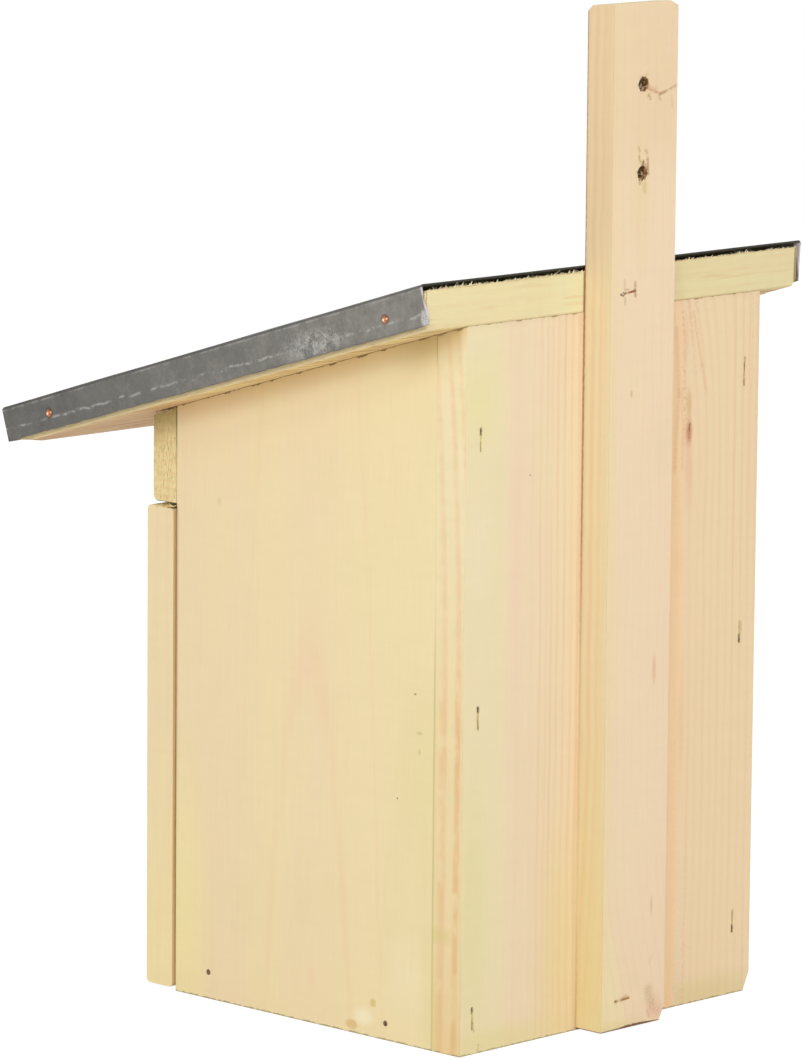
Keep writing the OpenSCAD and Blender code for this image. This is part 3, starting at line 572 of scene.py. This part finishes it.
def batten_marks(g, A, T, L, *_):
    rear, side = g.step(T, 1.0, 0.3), g.step(A, 1.0, 0.3)
    edge = g.curve(A, [(0, 0.3), (12, 0.6), (19, 1.4), (30, 1.2), (38, 0.4), (45, 0.2)])
    ragged = g.grain((A, 0.5), 0, 0, 3)
    low = g.step(g.plus(L, -1.0, g.times(edge, g.plus(ragged, 0.3), -1.0)), 0.4, -0.1)
    wavy = g.grain(0, 2.0, (L, 0.02))
    u = g.plus(T, g.swing(wavy, 5.0), g.times(g.step(L, 140, 0), -5.0))
    pink = g.times(g.bands(u, -8, 28, [(-2.5, 2.4, 1.6, 0.5), (2.6, 1.6, 1.6, 0.35), (5.8, 2.4, 1.6, 0.75),
                                       (10.8, 2.6, 1.8, 1.0), (16.0, 2.4, 1.8, 0.7), (22, 2.6, 1.6, 0.5)]), side)
    gap = g.grain(0, 5.0, (L, 0.35), 3)
    hole = g.m("MINIMUM", *[g.length(g.vec(g.plus(A, -HOLE_A), g.plus(L, -z), 0)) for z in HOLES])
    jag = g.grain((A, 0.7), (T, 0.6), (L, 0.7), 3)
    return [
        ((226, 200, 150), rear, g.step(L, 390, 440), 0.27),
        ((221, 206, 165), side, 0.9),
        ((234, 198, 152), side, g.step(L, 300, 420), 0.5),
        ((224, 187, 150), pink, 0.55),
        ((232, 210, 146), side, g.step(L, 190, 0), 0.5),
        # painted shade: dark line on the side face where it meets the back board, stronger higher up
        (g.mix(g.step(L, 60, 260), (164, 128, 68), (150, 86, 46)), side,
         g.step(g.plus(T, g.times(gap, 0.8)), 15.9, 16.5),
         g.curve(L, [(0, 0.5), (60, 0.15), (170, 0.25), (240, 0.7), (340, 0.85)])),
        ((222, 190, 132), g.step(g.plus(hole, g.swing(jag, 3.0)), 5.6, 3.0), rear, 0.3),
        # painted shade inside the hanging holes, reaching onto the face at their jagged rims, with darker specks
        (HOLE_SHADE, g.step(g.plus(hole, g.swing(jag, 3.4)), 3.8, 3.1)),
        ((84, 54, 20), g.step(hole, 3.3, 3.2), g.step(jag, 0.6, 0.36), 0.7),
        ((222, 198, 132), rear, g.step(L, 8, 1), g.step(A, 44, 10), 0.35),
        ((118, 80, 48), low, 0.95),
    ] + g.scratches(A, L, rear, [(a, z + l, a2, z + l2, *rest)
                                 for z, rows in BATTEN_TORN for a, l, a2, l2, *rest in rows])


batten_spots = [
    (34, 0, 172, 2, 3, 10, (228, 186, 150), 0.7, 0.7), (34.5, 0, 58, 1.2, 3, 6, (220, 184, 156), 0.6, 0.7),
    (15.5, 0, 305, 1.3, 3, 2.4, (206, 172, 136), 0.6, 0.7), (3, 0, 240, 5, 6, 400, (239, 214, 168), 0.5, 0.9),
    (38, 0, 8, 7, 4, 9, (232, 192, 164), 0.6, 0.9), (20, 0, 400, 8, 4, 60, (236, 212, 164), 0.4, 0.9),
]
m_batten = wood("pine_batten", (("-x", BATTEN_X), ("-y", BATTEN_Y), UPRIGHT), {
    "broad": {"lines": spaced(-20, 70, 5.5, 0.3, 11), "wave": 5.0,
              "profile": [(0.0, 0.0), (0.66, 0.0), (0.84, 1.0), (0.93, 0.7), (1.0, 0.0)],
              "amp": [(-20, 0.16), (60, 0.16)], "along": [(0, 1.3), (60, 1.2), (130, 1.0), (490, 1.0)]},
    "edge": PLAIN_EDGE},
    [(0, 0.3), (6, 0.7), (44, 0.85)], batten_spots, batten_marks, seed=6, bend=batten_bend,
    line=(220, 176, 134), pale=(240, 223, 178), pink=(242, 216, 184))


# Roof board: grain from side to side, so its sides are end grain
def roof_marks(g, A, T, L, on_edge, on_broad, on_end):
    # turned flat: A runs up the slope to the rear face, h up from the underside
    h = g.plus(T, -BACK_H)
    below_top = g.plus(18.8, g.times(h, -1.0))
    under = g.times(g.step(h, 0.6, 0.2), on_broad)
    # dark: painted shade beside the batten's edge on the rear face
    dark = g.times(g.step(g.off(L, BATTEN_X + 0.4), 0.9, 0.3), on_edge, 0.8)
    stream = g.grain((h, 0.45), 0, (L, 0.02), 3)
    chips = g.grain((h, 0.5), 5.0, (L, 0.12), 3, 0.6)
    flank_light = g.times(on_end, g.step(h, 3.6, 2.4))
    strip = g.off(L, 0.8 - ROOF_X)
    strip = g.times(g.step(g.plus(strip, g.times(h, 0.04), g.times(chips, 0.8)), 1.9, 1.2), on_edge)
    return [
        # underside: a browner tone, darkest towards the front, as painted shade of the overhang
        (g.mix(g.step(A, -110, -50), (224, 190, 136), (242, 218, 156)), under, 0.85),
        # painted light on the low strip of the sawn side ends, under the zinc flange
        ((250, 226, 178), flank_light, 0.6),
        ((233, 228, 184), on_edge, g.step(L, 52, 30), g.step(L, 20, 24), 0.6),
        ((176, 112, 82), under, g.step(g.grain((L, 0.02), (A, 0.35), 0), 0.46, 0.62), 0.6),
        ((228, 196, 150), on_edge, g.step(stream, 0.56, 0.68), 0.5),
        ((242, 232, 196), on_edge, g.step(chips, 0.62, 0.7), 0.6),
        # painted shade: darker lower edge of the rear face, in the joint over the back board
        ((196, 170, 110), on_edge, g.step(g.plus(h, g.times(chips, 0.6)), 1.4, 0.2), 0.45),
        # painted shade: broken dark line at the top of the rear face, under the zinc's edge
        ((150, 124, 70), edge_dirt_and_shade(g, below_top, L, 1.1, 4.0, 0.5, 0.62), on_edge, 0.5),
        ((132, 100, 56), dark),
        ((132, 118, 62), strip, 0.8),
    ]


m_roof = wood("pine_roof", (("+y", 0), ("+z", 0), ("+x", 0)), {
    "broad": {"lines": spaced(-320, 30, 9, 0.3, 21), "wave": 14.0, "amp": [(-320, 0.7), (-200, 0.6), (30, 0.5)]},
    "edge": {"lines": spaced(340, 385, 6, 0.3, 23), "wave": 3.0, "amp": [(340, 0.2), (385, 0.2)]}},
    [(-300, 0.9), (-100, 0.6), (60, 0.3), (120, 0.3)], marks=roof_marks, seed=9,
    turn=((0, Y_BACK, BACK_H), -PITCH), pale=(235, 222, 172), pink=(232, 206, 160),
    end_tint=(238, 220, 164), end_grain=(0.12, 0.9))


# Front rail: rough end grain in short upright dashes
def rail_marks(g, A, T, L, on_edge, _, on_end):
    dash = g.grain((A, 0.22), (T, 1.3), 0, 3, 0.65)
    big = g.grain((A, 0.06), (T, 0.25), 7)
    bottom = g.plus(A, -LOW["front_rail"][2])
    wall = g.plus(g.times(T, -1.0), Y_FRONT)
    top = g.plus(g.times(T, TAN), g.times(A, -1.0), BACK_H - Y_BACK * TAN)
    return [
        # painted shade on the top and bottom faces, in the gaps under the roof and over the door
        ((140, 112, 62), on_edge, 0.6),
        # end grain dashes, stronger towards the top as painted shade of the roof
        ((190, 170, 110), on_end, g.step(dash, 0.5, 0.68), g.step(top, 34, 6, 0.32, 0.65)),
        ((232, 218, 166), on_end, g.step(dash, 0.5, 0.36), 0.25),
        ((206, 176, 122), on_end, g.step(big, 0.5, 0.7), 0.35),
        # painted shade on the end under the roof, with a broken dark line at its top
        ((158, 138, 76), on_end, g.step(top, 18, 1), 0.72),
        ((70, 50, 20), on_end, edge_dirt_and_shade(g, top, T, 1.6, 1.0, 0.4, 0.6), 0.3),
        # painted shade in the gap beside the wall, stronger higher up
        ((110, 92, 44), on_end, g.step(g.plus(wall, dash), 1.7, 0.8), g.step(A, 255, 280, 0.35, 0.95)),
        # painted shade: dark line along the bottom edge, over the door's gap
        ((74, 56, 24), g.step(bottom, 0.35, 0.15)),
    ]


m_rail = wood("pine_rail", (("+z", 0), ("+y", 0), ("+x", 0)), {
    "broad": {"lines": spaced(225, 295, 5, 0.3, 31)}},
    [(230, 0.3), (290, 0.5)], marks=rail_marks, seed=12, end_tint=(242, 221, 165), end_grain=(0.3, 1.2))


def door_marks(g, A, T, L, on_edge, *_):
    top = g.step(L, HIGH["front_door"][2] - 0.7, HIGH["front_door"][2] - 0.3)
    n = g.grain((A, 0.3), (T, 0.5), 0, 3)
    return [
        # painted shade on the top face, under the rail
        ((160, 128, 74), top, g.step(g.plus(T, g.times(n, 12.0)), 17, 20)),
        ((238, 204, 164), on_edge, g.step(g.grain(0, (T, 0.1), (L, 0.012)), 0.5, 0.75),
         0.4),
        ((240, 226, 164), on_edge, g.step(L, 150, 20), 0.5),
        # painted shade on the rear face and the rear strip of the edges, in the gap beside the wall
        ((214, 172, 104), g.step(T, 17.2, 18.0), 0.5),
    ]


m_door = wood("pine_door", (("+x", X_OUT), ("+y", -LOW["front_door"][1]), UPRIGHT), {
    "broad": {"rings": (120, 60, 0.02, 6.0, 2.0), "wave": 8.0, "amp": [(-40, 0.5), (250, 0.5)]},
    "edge": {"lines": spaced(-4, 26, 6, 0.3, 35), "amp": [(-4, 0.18), (26, 0.18)]}},
    [(0, 0.3), (100, 0.5), (204, 0.4)], marks=door_marks, seed=15)


m_floor = wood("pine_floor", (("+x", 0), ("+z", 0), ("+y", 0)), {
    "broad": {"lines": spaced(-100, 100, 7, 0.3, 41), "wave": 8.0}}, [(-90, 0.3), (0, 0.5), (90, 0.2)], seed=18)


# -------- metal

# WORN_AND_HIGHLIGHT: pale zinc for worn places and scuffs, and for painted highlights on the fold and the bent
# corner
WORN_AND_HIGHLIGHT = (206, 204, 199)
TAPER = 0.0075  # the fold falls by this much per mm down the slope
ZINC_NAILS, NAIL_H = (-256.2, -21.0), 9.9  # places down the slope and height on the flange


def zinc():
    g = Net("weathered_zinc")
    # x across, s from the rear edge (0) down the slope (negative), h above the roof board's underside
    p, _ = g.coords(((0, Y_BACK, BACK_H), -PITCH))
    x, s, h = g.split(p)
    s, h = g.plus(s, -Y_BACK), g.plus(h, -BACK_H)
    cloud = g.noise(p, 0.03, 4, 0.6)
    mottle = g.noise(p, 0.2, 4, 0.65)
    grain = g.noise(p, 1.1, 3, 0.6)
    v = g.plus(g.swing(cloud, 0.4), g.swing(mottle, 0.5), g.swing(grain, 0.25), g.curve(
        s, [(-290, -0.16), (-200, -0.06), (-100, 0.02), (-50, 0.1), (10, 0.12)]))
    col = g.ramp(g.plus(v, 0.5), [(0.1, (80, 80, 78)), (0.5, (118, 116, 110)), (0.9, (163, 158, 151))])
    # broken whitish scuff along the flange, a little below its middle
    way = g.grain(0, (s, 0.1), 0, 3)
    line = g.m("ABSOLUTE", g.plus(h, -7.6, g.swing(way, 4.4)))
    dash = g.grain((x, 0.2), (s, 0.22), (h, 0.35), 4, 0.7)
    scuff = g.times(g.step(line, 1.0, 0.1), g.step(dash, 0.43, 0.62))
    # worn patch
    d = g.ball(g.vec(0, s, h), (0, -69, 8.0), (1, 25, 8))
    worn = g.times(g.step(d, 1.15, 0.2), g.step(g.plus(g.times(mottle, 0.8), g.times(grain, 0.6)), 0.58, 0.86))
    # scratched, bent lower corner at the rear; its pale colour is partly scratches, partly a painted highlight
    d = g.ball(g.vec(0, s, h), (0, 4.6, 4.5), (1, 3.4, 6))
    corner = g.times(g.step(g.plus(d, g.swing(mottle, 0.9)), 1.1, 0.5),
                     g.m("MAXIMUM", g.step(grain, 0.36, 0.56, 0.5, 1.0), g.step(h, 5.2, 3.0)))
    wear_and_highlight = g.m("MAXIMUM", g.times(scuff, 0.46), g.m("MAXIMUM", g.times(worn, 0.6), g.times(corner, 0.85)))
    # painted highlight: a thin broken light line just under the fold
    level = g.plus(h, g.times(s, -TAPER))
    fold_highlight = g.step(g.off(level, 19.0), 0.55, 0.15)
    wear_and_highlight = g.m("MAXIMUM", wear_and_highlight, g.times(fold_highlight, g.step(mottle, 0.4, 0.6), 0.24))
    col = g.mix(wear_and_highlight, col, WORN_AND_HIGHLIGHT)
    # bare cut edge at the rear, with a painted highlight on the far flange's rear end; painted shade on the fold
    # above the cut edge, painted shade along the fold's rounded top, and a dark lower edge
    end = g.plus(s, g.step(h, 12, 5, -5.8, -6.7))
    cut = g.m("MAXIMUM", g.step(end, -0.9, -0.4), g.times(g.step(s, 1.0, 2.4), g.step(x, -126.5, -127.5)))
    col = g.mix(g.times(cut, g.step(h, 20.4, 19.8), 0.9), col, (222, 212, 216))
    col = g.mix(g.times(g.step(end, -0.9, -0.4), g.step(h, 19.8, 20.2)), col, (58, 58, 46))
    # painted shade: a dark band along the fold's rounded top
    rim = g.step(g.off(level, 20.2), 0.9, 0.3)
    col = g.mix(g.times(rim, 0.5), col, (74, 74, 70))
    low = g.step(g.plus(h, g.times(s, -0.002), -2.4), 0.5, 0.0)
    col = g.mix(g.times(low, 0.4), col, (88, 84, 84))
    # painted shade of the dimples round the nails
    for place in ZINC_NAILS:
        d = g.length(g.vec(0, g.plus(s, -place), g.plus(h, -NAIL_H)))
        d = g.plus(d, g.swing(mottle, 1.5))
        col = g.mix(g.times(g.step(d, 3.2, 2.5), 0.4), col, (74, 60, 52))
    rough = g.plus(g.times(mottle, 0.2), 0.42)
    height = g.plus(g.times(mottle, 0.5), g.times(grain, 0.3), g.times(wear_and_highlight, -0.3))
    return g.finish(col, rough, height, metallic=0.25, bump_mm=0.15)


def simple_metal(name, c1, c2, rough, scale=1.5, metallic=1.0):
    g = Net(name)
    p, _ = g.coords()
    n = g.noise(p, scale, 3, 0.6)
    col = g.mix(g.step(n, 0.35, 0.7), c1, c2)
    return g.finish(col, g.plus(g.times(n, 0.25), rough), g.noise(p, scale * 3, 2), metallic=metallic, bump_mm=0.05)


def copper():
    """Nail head: a painted highlight in the middle, a tarnished rim, and a darker rear side."""
    g = Net("copper")
    q = g.vm("MULTIPLY", g.add("TexCoord", out="Generated"), (0, 1, 1))
    p, _ = g.coords()
    n = g.noise(p, 1.5, 3, 0.6)
    col = g.mix(g.step(n, 0.35, 0.7), (236, 160, 100), (208, 124, 72))
    rim = g.step(g.vm("DISTANCE", q, (0, 0.5, 0.5), out=1), 0.36, 0.5)
    col = g.mix(g.times(rim, 0.7), col, (112, 70, 46))
    painted_highlight = g.step(g.plus(g.vm("DISTANCE", q, (0, 0.52, 0.5), out=1), g.times(n, 0.1)), 0.24, 0.16)
    col = g.mix(g.times(g.step(g.split(q)[1], 0.62, 0.74), 0.7), col, (142, 92, 66))
    col = g.mix(painted_highlight, col, (255, 250, 244))
    return g.finish(col, g.plus(g.times(n, 0.2), 0.2), n, metallic=0.7, bump_mm=0.08)


def wire(name, axis, parts, soot=(96, 78, 42)):
    """Rusty staple crown: parts are (place along it from 0 to 1, colour)."""
    g = Net(name)
    t = g.split(g.add("TexCoord", out="Generated"))[axis]
    p, _ = g.coords()
    n = g.noise(p, 1.2, 3, 0.6)
    col = g.ramp(g.plus(t, g.swing(n, 0.25)), parts)
    col = g.mix(g.times(g.step(n, 0.5, 0.75), 0.5), col, soot)
    return g.finish(col, g.plus(g.times(n, 0.3), 0.45), n, metallic=0.3, bump_mm=0.05, spec=0.3)


m_zinc = zinc()
m_copper = copper()
m_nail = simple_metal("nail_steel", (122, 100, 58), (84, 66, 34), 0.45, 1.5, 0.3)
m_hinge = simple_metal("zinc_plated_hinge", (206, 206, 204), (168, 168, 166), 0.25, 0.8)
m_wire = {
    "top": wire("wire_dark_top", 2, [(0.0, WIRE), (0.3, WIRE), (0.5, FAINT), (0.68, FAINT), (0.8, SOIL)]),
    "foot": wire("wire_dark_foot", 2, [(0.0, SOIL), (0.25, SOIL), (0.42, FAINT), (0.7, WIRE), (1.0, FAINT)]),
    "ends": wire("wire_brown_ends", 2, [(0.0, (150, 104, 62)), (0.2, (168, 122, 78)), (0.36, (238, 208, 166)),
                                        (0.6, (206, 164, 118)), (0.78, (158, 112, 70)),
                                        (1.0, (196, 150, 106))], (150, 104, 66)),
    "rust": wire("wire_rusty", 0, [(0.0, (196, 136, 100)), (0.2, (160, 98, 66)), (0.4, (190, 132, 98)),
                                   (0.52, (232, 204, 168)), (0.66, (160, 104, 70)), (0.78, (246, 232, 204)),
                                   (0.93, SOIL)]),
    "blobs": wire("wire_two_blobs", 0, [(0.0, (190, 152, 108)), (0.45, (176, 136, 92)), (0.6, (238, 218, 178)),
                                        (0.74, (238, 218, 178)), (0.85, (172, 130, 86))]),
}
WIRES = {"back_staple_left_high": "ends", "back_staple_left_middle": "foot", "back_staple_left_low": "foot",
         "batten_staple_high": "rust", "batten_staple_low": "blobs"}
BOARDS = {"floor_board": m_floor, "side_wall_right": m_side, "side_wall_left": m_side_l, "back_board": m_back,
          "front_rail": m_rail, "front_door": m_door, "roof_board": m_roof, "mounting_batten": m_batten}

for n, o in nodes.items():
    mat = BOARDS.get(n) or (m_zinc if n == "zinc_sheet" else m_hinge if "hinge" in n else
                            m_copper if "roof_nail" in n else m_nail if "floor_nail" in n else
                            m_wire[WIRES.get(n, "top")])
    o.data.materials.clear()
    o.data.materials.append(mat)
    if n in BOARDS:
        b = o.modifiers.new("arris", "BEVEL")
        b.width = 0.00028
        b.segments = 2
        b.limit_method = "ANGLE"
        b.angle_limit = math.radians(40)

# -------- zinc skin


def zinc_skin():
    """The CAD sheet's own shape, cut finely and dented, with a bent rear corner and a leaning far flange."""
    bm = bmesh.new()
    bm.from_mesh(nodes["zinc_sheet"].data)
    up = Vector((0, math.cos(PITCH), math.sin(PITCH)))
    out = Vector((0, -math.sin(PITCH), math.cos(PITCH)))
    foot = Vector((0, Y_BACK / 1000, BACK_H / 1000))
    # planes down the slope, up from the board and from side to side
    cuts = [(up, -s * 0.006) for s in range(-1, 52)] + [(up, -0.0035), (up, -0.0015)]
    cuts += [(out, 0.0022 + 0.0026 * i) for i in range(7)]
    cuts += [(Vector((1, 0, 0)), 0.02 * i) for i in range(-6, 7)]
    for normal, place in cuts:
        bmesh.ops.bisect_plane(bm, geom=bm.verts[:] + bm.edges[:] + bm.faces[:], dist=1e-6,
                               plane_co=foot + normal * place, plane_no=normal)
    right = HIGH["zinc_sheet"][0] / 1000
    left = LOW["zinc_sheet"][0] / 1000
    for v in bm.verts:
        d = v.co - foot
        s, h = d.dot(up) * 1000, d.dot(out) * 1000
        wave = math.sin(s * 0.11 + 1.3) * 0.5 + math.sin(s * 0.27 + 0.4) * 0.3 + math.sin(s * 0.047) * 0.6
        below = clamp((18 - h) / 16)
        if abs(v.co.x - right) < 0.0012:
            v.co.x += 0.00022 * wave * below
            v.co += out * 0.00016 * math.sin(s * 0.35 + math.sin(s * 0.13) * 2) * max(0.0, below - 0.6) * 2.5
            # bent corner: the last few millimetres turn in behind the board
            end = clamp(s / 5.8)
            near = clamp((s - 0.8) / 5.0) * clamp((16 - h) / 8.0)
            v.co.x -= 0.0003 * near
            swell = 0.0006 * math.exp(-((h - 8) / 3.5) ** 2) - 0.0008 * math.exp(-((h - 14) / 2.6) ** 2)
            swell -= 0.0002 * max(0.0, 5 - h)
            v.co += up * end * end * swell
            v.co += out * 0.0007 * near * clamp((4 - h) / 4)
            # the front lower corner is pulled down into a small tab
            tab = max(0.0, 1 - abs(s + 291) / 9) * max(0.0, (5 - h) / 3)
            v.co -= out * 0.0004 * tab
        elif abs(v.co.x - left) < 0.0012:
            v.co.x += 0.0011 * below + 0.0002 * wave * below
        elif s > -286 and h > 17:
            v.co += out * 0.00012 * math.sin(v.co.x * 60) * math.sin(s * 0.05)
    for f in bm.faces:
        f.smooth = True
    o = piece("zinc_skin", bm, m_zinc)
    o.data.set_sharp_from_angle(angle=math.radians(32))
    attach(o, "box")
    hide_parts("zinc_sheet")


zinc_skin()

# -------- splinters


def splinter_material(name, light, dark):
    g = Net(name)
    p, _ = g.coords()
    col = g.mix(g.noise(p, 0.6, 2), light, dark)
    return g.finish(col, 0.7, g.noise(p, 3, 2), bump_mm=0.05, spec=0.2)


m_splinter = splinter_material("splinters", (248, 238, 208), (218, 198, 146))
m_brown = splinter_material("torn_brown_fibres", (206, 164, 112), (130, 88, 46))
# pale dust and torn fibres filling the gaps over the rail and the door, paler than the wood: painted light against
# the shade in the gaps
m_lit_dust = splinter_material("dust_in_gap_painted_light", (252, 238, 186), (206, 176, 116))


def splinters(name, start, end, out, count, length, width, seed, clusters=(), curls=(), mat=m_splinter):
    """Torn fibres on an edge from start to end (mm), turned towards out. clusters are (place along the edge, how
    many, spread); curls are (place, length) of long fibres that have sprung loose."""
    r = random.Random(seed)
    bm = bmesh.new()
    a, b = Vector(start), Vector(end)
    al, ou = (b - a).normalized(), Vector(out).normalized()
    side = al.cross(ou).normalized()
    jobs = [(r.random(), r.uniform(*length) * (0.4 + 1.1 * r.random()), 0.25) for _ in range(count)]
    for c, k, spread in clusters:
        jobs += [(c + r.gauss(0, spread), r.uniform(*length) * 1.5, 0.4) for _ in range(k)]
    jobs += [(c, ln, 1.0) for c, ln in curls]
    for t, ln, curl in jobs:
        base = a.lerp(b, min(0.995, max(0.005, t))) + side * r.uniform(-0.25, 0.25) - ou * 0.2
        w = r.uniform(*width) if curl < 0.9 else r.uniform(0.16, 0.24)
        d = (al * r.choice((-1, 1)) * r.uniform(0.5, 1.0) + ou * r.uniform(0.1, 0.7) + side * r.uniform(-0.3, 0.3))
        d.normalize()
        bend = (ou * r.uniform(0.2, 1.0) + al * r.uniform(-0.6, 0.6) + side * r.uniform(-0.4, 0.4)) * curl
        steps = 3 if curl < 0.9 else 7
        at, rings = base.copy(), []
        for i in range(steps):
            k = i / steps
            e1 = d.cross(ou if abs(d.dot(ou)) < 0.9 else side).normalized() * w * (1 - 0.6 * k)
            e2 = d.cross(e1).normalized() * w * 0.45 * (1 - 0.6 * k)
            rings.append([bm.verts.new((at + v) / 1000) for v in (e1, e2, -e1, -e2)])
            at = at + d * ln / steps
            d = (d + bend / steps).normalized()
            if curl > 0.9 and i == steps // 2:
                bend = -bend * 1.6
        tip = bm.verts.new(at / 1000)
        for p, q in zip(rings, rings[1:]):
            for i in range(4):
                j = (i + 1) % 4
                bm.faces.new((p[i], p[j], q[j], q[i]))
        for i in range(4):
            bm.faces.new((rings[-1][i], rings[-1][(i + 1) % 4], tip))
        bm.faces.new(rings[0][::-1])
    o = piece(name, bm, mat)
    body = "door" if "door" in name else "box"
    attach(o, body)


def roof_z(y):
    """Height of the roof board's underside at y."""
    return BACK_H + (y - Y_BACK) * TAN


top = BACK_H + BOARD / math.cos(PITCH)
door_top, door_rear = HIGH["front_door"][2], HIGH["front_door"][1]
rail_low, rail_front = LOW["front_rail"][2], LOW["front_rail"][1]
lip, batten_y = rail_front + 0.4, BATTEN_Y - 0.1
FINE, HAIR = (0.3, 0.8), (0.06, 0.14)
for row in [
    # name, start, end, out, count, length, width, seed, clusters, curls, material
    ("splinters_roof_rear_right", (ROOF_X - 0.5, Y_BACK, top), (BATTEN_X + 0.5, Y_BACK, top), (0, 0.1, 1), 320,
     (0.6, 2.0), (0.2, 0.5), 1,
     ((0.15, 8, 0.012), (0.24, 8, 0.015), (0.75, 8, 0.02), (0.86, 10, 0.02), (0.93, 6, 0.01)),
     ((0.1, 2.6), (0.155, 4.4), (0.17, 3.4), (0.22, 2.6), (0.25, 2.2), (0.78, 3.6), (0.8, 4.6), (0.83, 3.0),
      (0.9, 3.8), (0.93, 2.6))),
    ("splinters_roof_rear_left", (0.5 - ROOF_X, Y_BACK, top), (-BATTEN_X - 0.5, Y_BACK, top), (0, 0.1, 1), 280,
     (0.6, 1.8), (0.2, 0.45), 2, ((0.2, 6, 0.02), (0.4, 6, 0.015), (0.62, 6, 0.01)), ((0.41, 2.2), (0.3, 1.8))),
    ("splinters_back_top", (X_OUT - 1, Y_BACK + 0.1, BACK_H - 0.3), (BATTEN_X + 1, Y_BACK + 0.1, BACK_H - 0.3),
     (0, 1, -0.3), 26, FINE, HAIR, 3),
    ("splinters_wall_top", (X_OUT + 0.1, -60, roof_z(-60) - 0.4), (X_OUT + 0.1, -20, roof_z(-20) - 0.4),
     (1, 0, -0.4), 22, (0.4, 1.2), (0.07, 0.16), 4, ((0.3, 8, 0.06),)),
    ("splinters_wall_foot", (X_OUT - 0.1, Y_FRONT + 2, 0.6), (X_OUT - 0.1, Y_BACK - 20, 0.6), (1, 0, 0.25), 40,
     FINE, (0.06, 0.13), 5),
    ("splinters_back_foot", (X_OUT - 2, Y_BACK - 0.1, 0.6), (BATTEN_X + 2, Y_BACK - 0.1, 0.6), (0, 1, 0.25), 26,
     FINE, (0.06, 0.13), 6),
    ("splinters_batten_foot", (BATTEN_X - 2, batten_y, 1.6), (2 - BATTEN_X, batten_y, 1.6), (0, 1, 0.2), 22,
     (0.3, 0.9), (0.07, 0.15), 7),
    ("torn_hole_low", (-0.3, BATTEN_Y - 0.5, HOLES[1] - 2), (-0.9, BATTEN_Y - 0.5, HOLES[1] + 2.8), (1, 0.1, 0),
     9, (0.7, 1.5), (0.14, 0.3), 20, (), (), m_brown),
    ("torn_hole_high", (0.2, BATTEN_Y - 0.7, HOLES[0] + 1), (-0.6, BATTEN_Y - 0.7, HOLES[0] + 3), (1, 0.1, 0),
     5, (0.6, 1.2), (0.14, 0.26), 21, (), (), m_brown),
    ("splinters_roof_corner", (ROOF_X + 0.9, Y_BACK - 0.6, BACK_H + 3), (ROOF_X + 0.9, Y_BACK - 0.6, top - 1),
     (1, 0.05, 0), 90, (0.9, 2.0), (0.5, 0.8), 22),
    ("splinters_door_top", (X_OUT - 0.4, door_rear - 12, door_top - 0.4),
     (X_OUT - 0.4, door_rear - 0.2, door_top + 0.7), (0, 0, 1), 130, (1.1, 2.1), (0.35, 0.55), 24, (), (), m_lit_dust),
    ("dust_over_rail", (X_OUT - 0.7, lip, roof_z(lip) - 1.4),
     (X_OUT - 0.7, Y_FRONT - 0.2, roof_z(Y_FRONT - 0.2) - 1.4), (0, 0, 1), 110, (1.0, 1.7), (0.4, 0.6), 23, (), (),
     m_lit_dust),
    ("splinters_rail", (X_OUT - 0.1, rail_front + 1, rail_low + 0.5), (X_OUT - 0.1, Y_FRONT - 0.5, rail_low + 0.5),
     (1, 0, 0.1), 18, (0.3, 1.0), (0.08, 0.18), 8),
]:
    splinters(*row)

# -------- stage, light, camera

WHITE = (1, 1, 1, 1)


def white_floor(strength, keep):
    """White for the camera and in reflections; keep is the share that still shades with the light."""
    g = Net("white_floor")
    camera, *others = [g.add("LightPath", out="Is %s Ray" % k) for k in ("Camera", "Glossy", "Transmission")]
    seen = g.m("MAXIMUM", camera, g.m("MAXIMUM", *others))
    plain = g.add("BsdfDiffuse", {0: (0.82, 0.82, 0.82, 1)})
    glow = g.add("Emission", {0: WHITE, 1: strength})
    return g.output(g.add("MixShader", {0: g.times(seen, 1 - keep), 1: plain, 2: glow}))


me = bpy.data.meshes.new("floor")
me.from_pydata([(-6, -6, 0), (6, -6, 0), (6, 6, 0), (-6, 6, 0)], [], [(0, 1, 2, 3)])
me.materials.append(white_floor(1.12, 0.15))
floor = put("stage_floor", me)
floor.location.z = -0.0002

# White behind the box for the camera, a soft and slightly warm light for everything else
g = Net("studio", bpy.data.worlds)
soft = g.add("Background", {0: (1.0, 0.99, 0.97, 1), 1: 0.505})
plain = g.add("Background", {0: WHITE, 1: 1.0})
camera = g.add("LightPath", out="Is Camera Ray")
scene = bpy.context.scene
scene.world = g.output(g.add("MixShader", {0: camera, 1: soft, 2: plain}), "OutputWorld")

for name, az, el, watts in (("key", 138, 26, 28.7), ("side", 92, 24, 5), ("front", -35, 28, 13)):
    name += "_softbox"
    light = bpy.data.lights.new(name, "AREA")
    light.shape = "SQUARE"
    light.size = 1.2
    light.energy = watts
    o = put(name, light)
    o.location = Vector((0, 0, 0.25)) + toward(az, el) * 2.3
    o.rotation_euler = toward(az, el).to_track_quat("Z", "Y").to_euler()

# The photograph's camera, as solved from its straight edges
ROLL, DISTANCE, AIM = math.radians(0.485), 3.2367, Vector((0, -0.04365, 0.22183))
data = bpy.data.cameras.new("camera")
data.sensor_width = 36
data.lens = 226.4
data.clip_end = 50
back = toward(134.12, 9.08)
right = (-back).cross(Vector((0, 0, 1))).normalized()
up = right.cross(-back)
side, top = math.cos(ROLL) * right + math.sin(ROLL) * up, math.cos(ROLL) * up - math.sin(ROLL) * right
turn = Matrix((side, top, back)).transposed().to_4x4()
scene.camera = put("camera", data)
scene.camera.matrix_world = Matrix.Translation(AIM + back * DISTANCE) @ turn
scene.view_settings.view_transform = "Standard"
